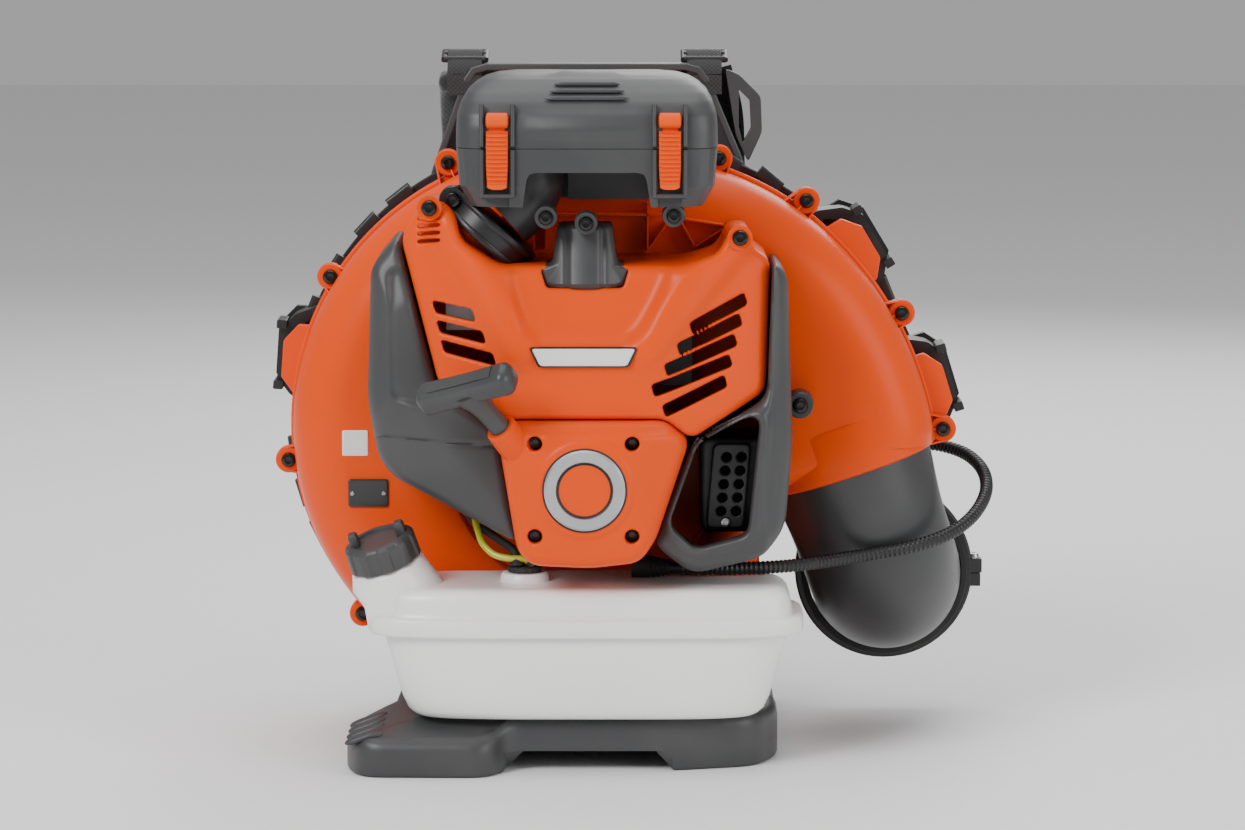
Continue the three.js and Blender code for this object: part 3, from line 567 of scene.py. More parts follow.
def revolve(profile: Points, place: Sequence[float], direction: Sequence[float], sides: int = 48) -> Surface:
    """Turn a profile of (radius, height) about an axis: each point goes round a circle of its radius.

    Args:
        profile: The profile; when it ends where it starts, it makes a ring without caps.
        place: The point of height 0 on the axis.
        direction: The axis's direction.
        sides: How many points go round.

    Returns:
        The surface.
    """
    outline = np.asarray(profile, float)
    first, second, along = axes_for(direction)
    angle = np.linspace(0, 2 * np.pi, sides, endpoint=False)
    circle = np.cos(angle)[:, None] * first + np.sin(angle)[:, None] * second
    rings = outline[:, 0, None, None] * circle + outline[:, 1, None, None] * along + np.asarray(place, float)
    closed = np.allclose(outline[0], outline[-1])
    return loft(rings, capped=not closed)


def smooth_path(points: Points, count: int) -> np.ndarray:
    """A smooth line through points: cubic pieces, with tangents from the neighbours, by chord length.

    Args:
        points: The points that it passes.
        count: How many points the line gets.

    Returns:
        The points of the line.
    """
    knots = np.asarray(points, float)
    chord = np.concatenate([[0.0], np.cumsum(np.linalg.norm(np.diff(knots, axis=0), axis=1))])
    slope = np.gradient(knots, chord, axis=0)
    place = np.linspace(0, chord[-1], count)
    span = np.clip(np.searchsorted(chord, place, side="right") - 1, 0, len(chord) - 2)
    width = (chord[span + 1] - chord[span])[:, None]
    t = (place - chord[span])[:, None] / width
    start, end = knots[span], knots[span + 1]
    return ((2 * t**3 - 3 * t**2 + 1) * start + (t**3 - 2 * t**2 + t) * width * slope[span]
            + (3 * t**2 - 2 * t**3) * end + (t**3 - t**2) * width * slope[span + 1])


def sweep(path: np.ndarray, section: np.ndarray, size: np.ndarray | float = 1.0,
          up: Sequence[float] = (0.0, 0.0, 1.0), capped: bool = True) -> Surface:
    """Carry a section along a path: each station places it square to the tangent, scaled by its size.

    Args:
        path: The stations' points.
        section: The section's points, across and up.
        size: One scale, or one for each station.
        up: A direction that the section's height leans towards.
        capped: Whether both ends are closed.

    Returns:
        The surface, with a UV of metres round and metres along.
    """
    tangent = np.gradient(path, axis=0)
    tangent /= np.linalg.norm(tangent, axis=1)[:, None]
    across = np.cross(tangent, np.asarray(up, float))
    across /= np.linalg.norm(across, axis=1)[:, None]
    lift = np.cross(across, tangent)
    scale = np.broadcast_to(np.asarray(size, float), (len(path),))[:, None, None]
    offset = section[None, :, 0, None] * across[:, None, :] + section[None, :, 1, None] * lift[:, None, :]
    rings = path[:, None, :] + offset * scale
    travelled = np.concatenate([[0.0], np.cumsum(np.linalg.norm(np.diff(path, axis=0), axis=1))]) / 1000
    round_it = np.concatenate([[0.0], np.cumsum(np.linalg.norm(np.diff(section, axis=0), axis=1))]) / 1000
    uv = np.stack(np.broadcast_arrays(round_it[None, :], travelled[:, None]), axis=-1).reshape(-1, 2)
    return loft(rings, capped, uv)


def circle(radius: float, sides: int = 24) -> np.ndarray:
    """A circle's points."""
    angle = np.linspace(0, 2 * np.pi, sides, endpoint=False)
    return radius * np.stack([np.cos(angle), np.sin(angle)], axis=-1)


def soft_box(half_x: float, half_y: float, power: float = 5.0, sides: int = 64) -> np.ndarray:
    """A rectangle with soft corners: the superellipse |x/a|^p + |y/b|^p = 1.

    Args:
        half_x: Half its width.
        half_y: Half its height.
        power: How square it is; 2 is an ellipse.
        sides: How many points it gets.

    Returns:
        The points.
    """
    angle = np.linspace(0, 2 * np.pi, sides, endpoint=False) + np.pi / sides
    turned = np.stack([np.cos(angle), np.sin(angle)], axis=-1)
    return np.sign(turned) * np.abs(turned) ** (2 / power) * (half_x, half_y)


def rounded(points: Points, radius: float, steps: int = 6) -> np.ndarray:
    """A polygon with each corner replaced by a quadratic curve that starts a radius before it.

    Args:
        points: The polygon's corners.
        radius: How far before a corner its curve starts.
        steps: How many points a curve gets.

    Returns:
        The points, in order.
    """
    corners = np.asarray(points, float)
    before = np.roll(corners, 1, axis=0) - corners
    after = np.roll(corners, -1, axis=0) - corners
    reach_before = np.minimum(radius / np.linalg.norm(before, axis=1), 0.47)[:, None]
    reach_after = np.minimum(radius / np.linalg.norm(after, axis=1), 0.47)[:, None]
    t = np.linspace(0, 1, steps)[None, :, None]
    start, end = (corners + before * reach_before)[:, None], (corners + after * reach_after)[:, None]
    return ((1 - t) ** 2 * start + 2 * t * (1 - t) * corners[:, None] + t**2 * end).reshape(-1, 2)


def edge_distance(x: np.ndarray, z: np.ndarray, outline: np.ndarray) -> np.ndarray:
    """Distance from each point to a closed outline: negative inside, found by counting crossed edges.

    Args:
        x: The points' X.
        z: The points' Z.
        outline: The outline in X and Z.

    Returns:
        The distances.
    """
    nearest = np.full(x.shape, np.inf)
    inside = np.zeros(x.shape, bool)
    for (x0, z0), (x1, z1) in zip(outline, np.roll(outline, -1, axis=0)):
        run, rise = x1 - x0, z1 - z0
        length = max(run * run + rise * rise, 1e-12)
        t = np.clip(((x - x0) * run + (z - z0) * rise) / length, 0, 1)
        nearest = np.minimum(nearest, np.hypot(x - x0 - t * run, z - z0 - t * rise))
        if abs(rise) > 1e-12:
            inside ^= ((z0 > z) != (z1 > z)) & (x < run * (z - z0) / rise + x0)
    return np.where(inside, -nearest, nearest)


def level(depth: float) -> Height:
    """A flat face at one depth."""
    return lambda x, z: depth + 0 * x


def roll_over(gap: np.ndarray, radius: float) -> np.ndarray:
    """How far a quarter circle of a radius has dropped at a gap before the edge."""
    return radius - np.sqrt(radius**2 - (radius - np.clip(gap, 0, radius)) ** 2)


def gap_to(holes: Sequence[np.ndarray], x: np.ndarray, z: np.ndarray) -> np.ndarray:
    """Distance from each point to the nearest opening.

    Args:
        holes: The openings' outlines.
        x: The points' X.
        z: The points' Z.

    Returns:
        The distances, negative in an opening.
    """
    nearest = np.full(x.shape, np.inf)
    for hole in holes:
        nearest = np.minimum(nearest, edge_distance(x, z, hole))
    return nearest


def facing_shell(outline: np.ndarray, height: Height, back: float, holes: Sequence[np.ndarray] = (),
                 roll: float = 4.0, hole_roll: float = 1.2, step: float = 1.6,
                 reveal: float = 5.0) -> Surface:
    """A moulded cover that faces -Y: a height field over an outline, rolled over at its edge into a skirt.

    A square grid over the outline is cut along the zero line of the distance to the edge. Each point's depth
    is the height field plus a quarter circle over the last few millimetres before an edge, so the face
    turns smoothly into the skirt, which runs straight back. Round holes the skirt is a short reveal.

    Args:
        outline: The cover's outline in X and Z.
        height: The depth of its face, in Y, for arrays of X and Z.
        back: The depth at which its skirt ends.
        holes: Outlines of openings.
        roll: The radius of the rolled outer edge.
        hole_roll: The radius of the rolled edge round an opening.
        step: The grid's pitch.
        reveal: How deep an opening's edge is.

    Returns:
        The open shell, facing -Y and outwards.
    """
    low, high = outline.min(axis=0) - step, outline.max(axis=0) + 2 * step
    columns, rows = np.arange(low[0], high[0], step), np.arange(low[1], high[1], step)
    x, z = (part.ravel() for part in np.meshgrid(columns, rows, indexing="ij"))
    distance = np.maximum(edge_distance(x, z, outline), -gap_to(holes, x, z))
    corner = (np.arange(len(columns) - 1)[:, None] * len(rows) + np.arange(len(rows) - 1)).ravel()
    right = corner + len(rows)
    triangles = np.concatenate([np.stack([corner, right, right + 1], 1),
                                np.stack([corner, right + 1, corner + 1], 1)])
    kept, x, z = cut_at_zero(triangles, x, z, distance)
    outside = edge_distance(x, z, outline)
    hole_gap = gap_to(holes, x, z)
    y = height(x, z) + roll_over(-outside, roll)
    if holes:
        y = y + roll_over(hole_gap, hole_roll)
    points = np.stack([x, y, z], axis=1)
    used, inverse = np.unique(kept, return_inverse=True)
    kept = inverse.reshape(kept.shape)
    points, outside = points[used], outside[used]
    edges = np.concatenate([kept[:, [0, 1]], kept[:, [1, 2]], kept[:, [2, 0]]])
    keys = np.sort(edges, axis=1)
    _, first, count = np.unique(keys[:, 0] * len(points) + keys[:, 1], return_index=True, return_counts=True)
    rim = edges[first[count == 1]]
    skirt = points.copy()
    skirt[:, 1] = np.where(outside > -0.6 * step, np.maximum(back, points[:, 1] + 0.5),
                           points[:, 1] + reveal)
    number = np.full(len(points), -1)
    rim_points = np.unique(rim)
    number[rim_points] = len(points) + np.arange(len(rim_points))
    sides = np.stack([rim[:, 1], rim[:, 0], number[rim[:, 0]], number[rim[:, 1]]], axis=1)
    return Surface(np.concatenate([points, skirt[rim_points]]), kept.tolist() + sides.tolist())


def cut_at_zero(triangles: np.ndarray, x: np.ndarray, z: np.ndarray, level: np.ndarray) -> tuple:
    """Keep the part of a flat triangle mesh where the level is negative, cutting edges where it is zero.

    Args:
        triangles: Three point numbers a row.
        x: The points' X.
        z: The points' Z.
        level: The level at each point.

    Returns:
        The new triangles, X and Z.
    """
    inside = level < 0
    pairs = np.sort(np.concatenate([triangles[:, [0, 1]], triangles[:, [1, 2]], triangles[:, [2, 0]]]),
                    axis=1)
    crossing = pairs[inside[pairs[:, 0]] != inside[pairs[:, 1]]]
    keys = np.unique(crossing[:, 0] * len(x) + crossing[:, 1])
    a, b = keys // len(x), keys % len(x)
    t = level[a] / (level[a] - level[b])
    new_x, new_z = x[a] + t * (x[b] - x[a]), z[a] + t * (z[b] - z[a])

    def crossed(start: np.ndarray, end: np.ndarray) -> np.ndarray:
        """The number of the new point on each edge."""
        key = np.minimum(start, end) * len(x) + np.maximum(start, end)
        return len(x) + np.searchsorted(keys, key)

    count = inside[triangles].sum(axis=1)
    whole = triangles[count == 3]
    one, two = triangles[count == 1], triangles[count == 2]
    one = np.take_along_axis(one, (np.argmax(inside[one], axis=1)[:, None] + np.arange(3)) % 3, axis=1)
    two = np.take_along_axis(two, (np.argmin(inside[two], axis=1)[:, None] + np.arange(3)) % 3, axis=1)
    tips = np.stack([one[:, 0], crossed(one[:, 0], one[:, 1]), crossed(one[:, 0], one[:, 2])], axis=1)
    near, far = crossed(two[:, 0], two[:, 1]), crossed(two[:, 0], two[:, 2])
    halves = np.concatenate([np.stack([near, two[:, 1], two[:, 2]], 1), np.stack([near, two[:, 2], far], 1)])
    return np.concatenate([whole, tips, halves]), np.concatenate([x, new_x]), np.concatenate([z, new_z])


def soft_max(heights: Sequence[np.ndarray], soften: float = 2.0) -> np.ndarray:
    """The largest of several heights, with the creases between them rounded: a log of summed exponentials.

    Args:
        heights: The heights, of shapes that go together.
        soften: About how far a crease is rounded.

    Returns:
        The combined height.
    """
    stacked = np.stack(np.broadcast_arrays(*heights)) / soften
    top = stacked.max(axis=0)
    return soften * (top + np.log(np.exp(stacked - top).sum(axis=0)))


def walls(target: bpy.types.Object, thickness: float) -> None:
    """Give an open shell its wall, inwards.

    Args:
        target: The shell.
        thickness: The wall in millimetres.
    """
    solidify = target.modifiers.new("wall", "SOLIDIFY")
    solidify.thickness = thickness / 1000
    solidify.offset = -1.0


def soften(target: bpy.types.Object, width: float, segments: int = 2) -> None:
    """Round the crisp edges of a piece or a CAD node, after its loose triangles are merged into flats.

    Args:
        target: The object.
        width: The rounding's width in millimetres.
        segments: How many strips it gets.
    """
    weld = target.modifiers.new("weld", "WELD")
    weld.merge_threshold = 1e-5
    flat = target.modifiers.new("flats", "DECIMATE")
    flat.decimate_type = "DISSOLVE"
    flat.angle_limit = math.radians(1.0)
    bevel = target.modifiers.new("edges", "BEVEL")
    bevel.width = width / 1000
    bevel.segments = segments
    bevel.limit_method = "ANGLE"
    bevel.angle_limit = math.radians(32.0)
    bevel.harden_normals = False
    bevel.use_clamp_overlap = True


def screw_heads(places: Points, direction: Sequence[float], radius: float = 4.6,
                height: float = 4.0) -> Surface:
    """Pan-head screws with a sunk socket, one at each place, as one surface of separate closed bodies.

    Args:
        places: The seats of the heads.
        direction: The way that they face.
        radius: Their radius.
        height: Their height.

    Returns:
        The surface.
    """
    heads = []
    for place in places:
        head = revolve([(0.0, 0.0), (radius, 0.0), (radius, height * 0.55), (radius * 0.82, height * 0.92),
                        (radius * 0.5, height), (radius * 0.46, height * 0.45), (0.0, height * 0.4)],
                       place, direction, 24)
        heads.append(head)
    return heads[0].plus(*heads[1:])


def cushion(name: str, node: str) -> bpy.types.Object:
    """Sew a padded piece: the CAD body is remeshed evenly, blown up as cloth, and kept near its place.

    Args:
        name: The piece's name.
        node: The CAD node that it grows from and replaces.

    Returns:
        The cushion.
    """
    source = frame["nodes"][node]
    mesh = source.data.copy()
    made = bpy.data.objects.new(name, mesh)
    bpy.context.scene.collection.objects.link(made)
    face_outwards(mesh)
    remesh = made.modifiers.new("even", "REMESH")
    remesh.mode = "VOXEL"
    remesh.voxel_size = CUSHION_GRID
    bake(made)
    even = corners_of(made)
    cloth = made.modifiers.new("cloth", "CLOTH")
    cloth.settings.quality = 5
    cloth.settings.mass = 0.15
    cloth.settings.tension_stiffness = 25
    cloth.settings.compression_stiffness = 25
    cloth.settings.bending_stiffness = 0.6
    cloth.settings.use_pressure = True
    cloth.settings.uniform_pressure_force = 4.0
    cloth.settings.effector_weights.gravity = 0.0
    cloth.point_cache.frame_start = 1
    cloth.point_cache.frame_end = CLOTH_FRAMES
    for moment in range(1, CLOTH_FRAMES + 1):
        bpy.context.scene.frame_set(moment)
    bake(made)
    bpy.context.scene.frame_set(1)
    blown = corners_of(made)
    move = blown - even
    reach = np.linalg.norm(move, axis=1)[:, None]
    blown = even + move * np.minimum(1.0, CUSHION_SWELL / np.maximum(reach, 1e-9))
    made.data.vertices.foreach_set("co", blown.ravel())
    smooth = made.modifiers.new("even_out", "SMOOTH")
    smooth.factor = 0.6
    smooth.iterations = 4
    finer = made.modifiers.new("finer", "SUBSURF")
    finer.levels = finer.render_levels = 1
    made.data.polygons.foreach_set("use_smooth", np.ones(len(made.data.polygons), bool))
    dress(made, Look.FABRIC)
    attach(made, "root")
    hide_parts(node)
    log.info("%s: padded, %d faces", name, len(made.data.polygons))
    return made


def bake(target: bpy.types.Object) -> None:
    """Turn an object's modifiers into its own mesh.

    Args:
        target: The object.
    """
    view = bpy.context.evaluated_depsgraph_get()
    result = bpy.data.meshes.new_from_object(target.evaluated_get(view))
    target.modifiers.clear()
    target.data = result


def corners_of(target: bpy.types.Object) -> np.ndarray:
    """An object's points as an array of rows.

    Args:
        target: The object.

    Returns:
        The points.
    """
    flat = np.zeros(len(target.data.vertices) * 3)
    target.data.vertices.foreach_get("co", flat)
    return flat.reshape(-1, 3)


def cad(node: str, look: Look, edge: float = 1.0) -> None:
    """Keep a CAD node, with softened edges and a full finish.

    Args:
        node: The node's name.
        look: Its finish.
        edge: The width of its rounded edges in millimetres, or 0.
    """
    kept = frame["nodes"][node]
    paint(kept, look)
    if edge > 0:
        soften(kept, edge, 2)
    log.info("%s: kept from the frame", node)


# ---- Sub-assemblies ---------------------------------------------------------------------------
@dataclass
class FanHousing:
    """The two halves of the fan's scroll, their rim, its screws and the guard behind."""

    centre: tuple = (-14.0, 221.0)
    reach: tuple = ((0, 20, 43, 60, 90, 118, 240), (260, 243, 225, 211, 198, 194, 194))
    front: float = 122.0
    split: float = 185.0
    back: float = 246.0
    bulge: float = 40.0
    recess: float = 98.0
    inlet: float = 84.0
    gap: float = 0.3
    wall: float = 3.5
    mouth: tuple = ((131.0, 172.0), (245.0, 210.0))
    screws: tuple = ((-98, 408), (-182, 327), (-212.5, 196), (-160.5, 85), (94, 411), (156, 381), (224, 301),
                     (254, 218))
    hex_tabs: tuple = ((-205, 267, 176), (192, 345, 31), (246, 247, 17))

    def outline(self) -> tuple:
        """The scroll's outline from the throat's corner round to the mouth.

        Returns:
            The points and a flag for each one on the mouth's straight line.
        """
        degrees = np.arange(0.0, 320.5, 2.0)
        reach = np.interp(degrees, *self.reach) - 0.28 * np.maximum(degrees - 240, 0)
        angle = np.radians(degrees)
        arc = np.stack([reach * np.cos(angle), reach * np.sin(angle)], axis=1) + self.centre
        low, high = np.array(self.mouth)
        t = np.linspace(0, 1, 9)[1:, None]
        under = arc[-1] + (low - arc[-1]) * t
        across = low + (high - low) * np.linspace(0, 1, 15)[1:, None]
        over = high + (arc[0] - high) * np.linspace(0, 1, 4)[1:-1, None]
        points = np.concatenate([arc, under, across, over])
        on_mouth = np.zeros(len(points), bool)
        on_mouth[len(arc) + len(under) - 1:len(arc) + len(under) + len(across)] = True
        return points, on_mouth

    def rings(self, steps: Points) -> np.ndarray:
        """Rings of the outline drawn in towards the centre by an inset, each at its own depth.

        Args:
            steps: An inset and a depth for each ring.

        Returns:
            Points by ring, place in the ring, and axis.
        """
        outline, _ = self.outline()
        span = outline - self.centre
        length = np.linalg.norm(span, axis=1)
        rings = []
        for inset, depth in steps:
            flat = span * (np.maximum(length - inset, 2.0) / length)[:, None] + self.centre
            rings.append(np.stack([flat[:, 0], np.full(len(flat), float(depth)), flat[:, 1]], axis=1))
        return np.array(rings)

    def half(self, name: str, node: str, seam: float, face: float, inner: float) -> None:
        """One half's skin: straight side, quarter-round bulge, flat face and a round recess or inlet.

        Args:
            name: The piece's name.
            node: The CAD node that it stands for.
            seam: The depth of its open edge, at the rim.
            face: The depth of its flat face.
            inner: The radius of its recess or inlet.
        """
        towards = math.copysign(1.0, face - seam)
        turn = np.linspace(0, np.pi / 2, 12)
        rise = abs(face - self.split) - self.bulge
        profile = [(0.0, rise * t) for t in (0.0, 0.5)]
        profile += [(self.bulge * (1 - math.cos(a)), rise + self.bulge * math.sin(a)) for a in turn]
        rows = self.rings([(inset, seam + towards * far) for inset, far in profile])
        edge = rows[-1]
        span = edge[:, [0, 2]] - (0.0, 205.0)
        length = np.linalg.norm(span, axis=1)[:, None]
        extra = []
        for reach, down in ((inner + 4, 0.0), (inner, 1.2), (inner - 1.5, 4.0), (inner - 2.0, 11.0)):
            flat = span / length * np.minimum(reach, length - 1.0) + (0.0, 205.0)
            extra.append(np.stack([flat[:, 0], edge[:, 1] - towards * down, flat[:, 1]], axis=1))
        rows = np.concatenate([rows, np.array(extra)])
        count = rows.shape[1]
        _, on_mouth = self.outline()
        faces = grid_faces(len(rows), count)
        kept = [face for face in faces if not (on_mouth[face[0] % count] and on_mouth[face[1] % count]
                                               and face[0] // count < 2)]
        made = piece(name, Surface(rows.reshape(-1, 3), kept), Look.ORANGE, stands_for=[node])
        walls(made, self.wall)

    def tabs(self) -> None:
        """The six-sided orange tabs on the rim, the black frames clipped over them, and the ears' fins."""
        shapes, frames, fins = [], [], []
        for x, z, degrees in self.hex_tabs:
            turn = math.radians(degrees)
            spin = np.array([[math.cos(turn), -math.sin(turn)], [math.sin(turn), math.cos(turn)]])
            tab = rounded(np.array([(-16, -25), (-16, 25), (2, 25), (12, 13), (12, -13), (2, -25)]) @ spin.T,
                          1.5)
            rows = [(tab * k + (x, z), y) for k, y in ((0.97, 182), (1.0, 182.8), (1.0, 190.4), (0.97, 191))]
            shapes.append(loft(np.array([np.insert(flat, 1, y, axis=1) for flat, y in rows])))
            outer = rounded(np.array([(-19, -36), (-9, -36), (7, -29), (17, -17), (17, 17), (7, 29),
                                      (-9, 36),
                                      (-19, 36), (-19, 29), (-7, 28), (9, 15), (9, -15), (-7, -28),
                                      (-19, -29)]) @ spin.T, 2)
            rows = [(outer + (x, z), y) for y in (213.0, 214.0, 245.4, 246.2)]
            frames.append(loft(np.array([np.insert(flat, 1, y, axis=1) for flat, y in rows])))
            for side in (-1, 1):
                hook = np.array([(12, side * 22 - 3), (19, side * 22 - 3), (19, side * 22 + 3),
                                 (12, side * 22 + 3)])
                hook = rounded(hook @ spin.T, 1.0) + (x, z)
                frames.append(loft(np.array([np.insert(hook, 1, y, axis=1) for y in (206.0, 207.0, 236.0,
                        237.0)])))
        for x, z in self.screws:
            inward = np.array([self.centre[0] - x, self.centre[1] - z])
            inward /= np.linalg.norm(inward)
            side = np.array([-inward[1], inward[0]])
            for lean in (-9.0, 0.0, 9.0):
                start = np.array([x, z]) + side * lean + inward * 2
                end = start + inward * 24 + side * lean * 0.6
                flat = start + (end - start) * np.linspace(0, 1, 14)[:, None]
                depth = np.linspace(181, 166, 14)
                line = np.stack([flat[:, 0], depth, flat[:, 1]], axis=1)
                fins.append(sweep(line, soft_box(1.0, 5.0, 4, 16), np.linspace(1, 0.35, 14), up=(0, 1, 0)))
        piece("rim_tabs", shapes[0].plus(*shapes[1:]), Look.ORANGE)
        piece("guard_frames", frames[0].plus(*frames[1:]), Look.BLACK)
        piece("ear_fins", fins[0].plus(*fins[1:]), Look.ORANGE)
        clips = []
        for degrees in (158, 166, 188, 197, 206, 22, 50, 58, 66, 75, 128, 137, 147):
            turn = math.radians(degrees)
            reach = float(np.interp(degrees, *self.reach)) + 5
            spot = np.array([self.centre[0] + reach * math.cos(turn), 240.0,
                             self.centre[1] + reach * math.sin(turn)])
            along = np.array([-math.sin(turn), 0, math.cos(turn)])
            line = spot + along * np.linspace(-8 - degrees % 3 * 2, 8, 16)[:, None]
            clips.append(sweep(line, soft_box(5.0, 7.0, 6, 24), up=(0, 1, 0)))
        piece("guard_clips", clips[0].plus(*clips[1:]), Look.BLACK)

    def build(self) -> None:
        """Build the housing."""
        self.tabs()
        self.half("scroll_front", "fan_housing_front", self.split - self.gap, self.front, self.recess)
        self.half("scroll_back", "fan_housing_back", self.split + self.gap, self.back, self.inlet)
        floor = revolve([(self.recess + 1, 133.0), (30, 133.0), (29, 135.5), (self.recess + 1, 135.5),
                         (self.recess + 1, 133.0)], (0, 0, 205), (0, 1, 0), 96)
        piece("scroll_floor", floor, Look.ORANGE)
        rim = self.rings([(1.0, 180.0), (-1.6, 179.6), (-3.0, 180.6), (-3.0, 184.6), (1.0, 184.6)])
        piece("rim_front", loft(rim, capped=False), Look.ORANGE)
        rim = self.rings([(1.0, 185.2), (-3.0, 185.2), (-3.0, 190.0), (-1.8, 191.0), (1.0, 191.0)])
        piece("rim_back", loft(rim, capped=False), Look.ORANGE)
        ears = [revolve([(0, 0), (9.5, 0), (9.5, 8.5), (8.6, 9.6), (0, 9.6)], (x, 186, z), (0, -1, 0), 32)
                for x, z in self.screws]
        piece("rim_ears", ears[0].plus(*ears[1:]), Look.ORANGE)
        piece("rim_screws", screw_heads([(x, 176.6, z) for x, z in self.screws], (0, -1, 0), 5.2, 4.2),
              Look.SCREW)
        ribs = []
        for start, end in (((-36, 384), (-36, 352)), ((-28, 384), (-28, 352)), ((43, 384), (43, 352)),
                           ((43.5, 352), (58, 372)), ((66, 372), (76, 354)), ((76, 354), (96, 367)),
                           ((-20, 376), (55, 376)), ((69, 373), (96, 369)), ((-70, 372), (-36, 380))):
            way = np.array([start, end], float)
            path = way[0] + (way[1] - way[0]) * np.linspace(0, 1, 12)[:, None]
            line = np.stack([path[:, 0], np.full(12, 122.5), path[:, 1]], axis=1)
            ribs.append(sweep(line, soft_box(0.8, 12, 8, 20), up=(0, 1, 0)))
        piece("housing_ribs", ribs[0].plus(*ribs[1:]), Look.ORANGE)
        guard = self.rings([(8.0, 246.6), (-4.6, 246.6), (-5.6, 248.0), (-5.6, 254.0), (-4.2, 255.6),
                            (8.0, 255.6)])
        piece("guard_rim", loft(guard, capped=False), Look.BLACK)
        cad("intake_guard", Look.BLACK, 1.0)


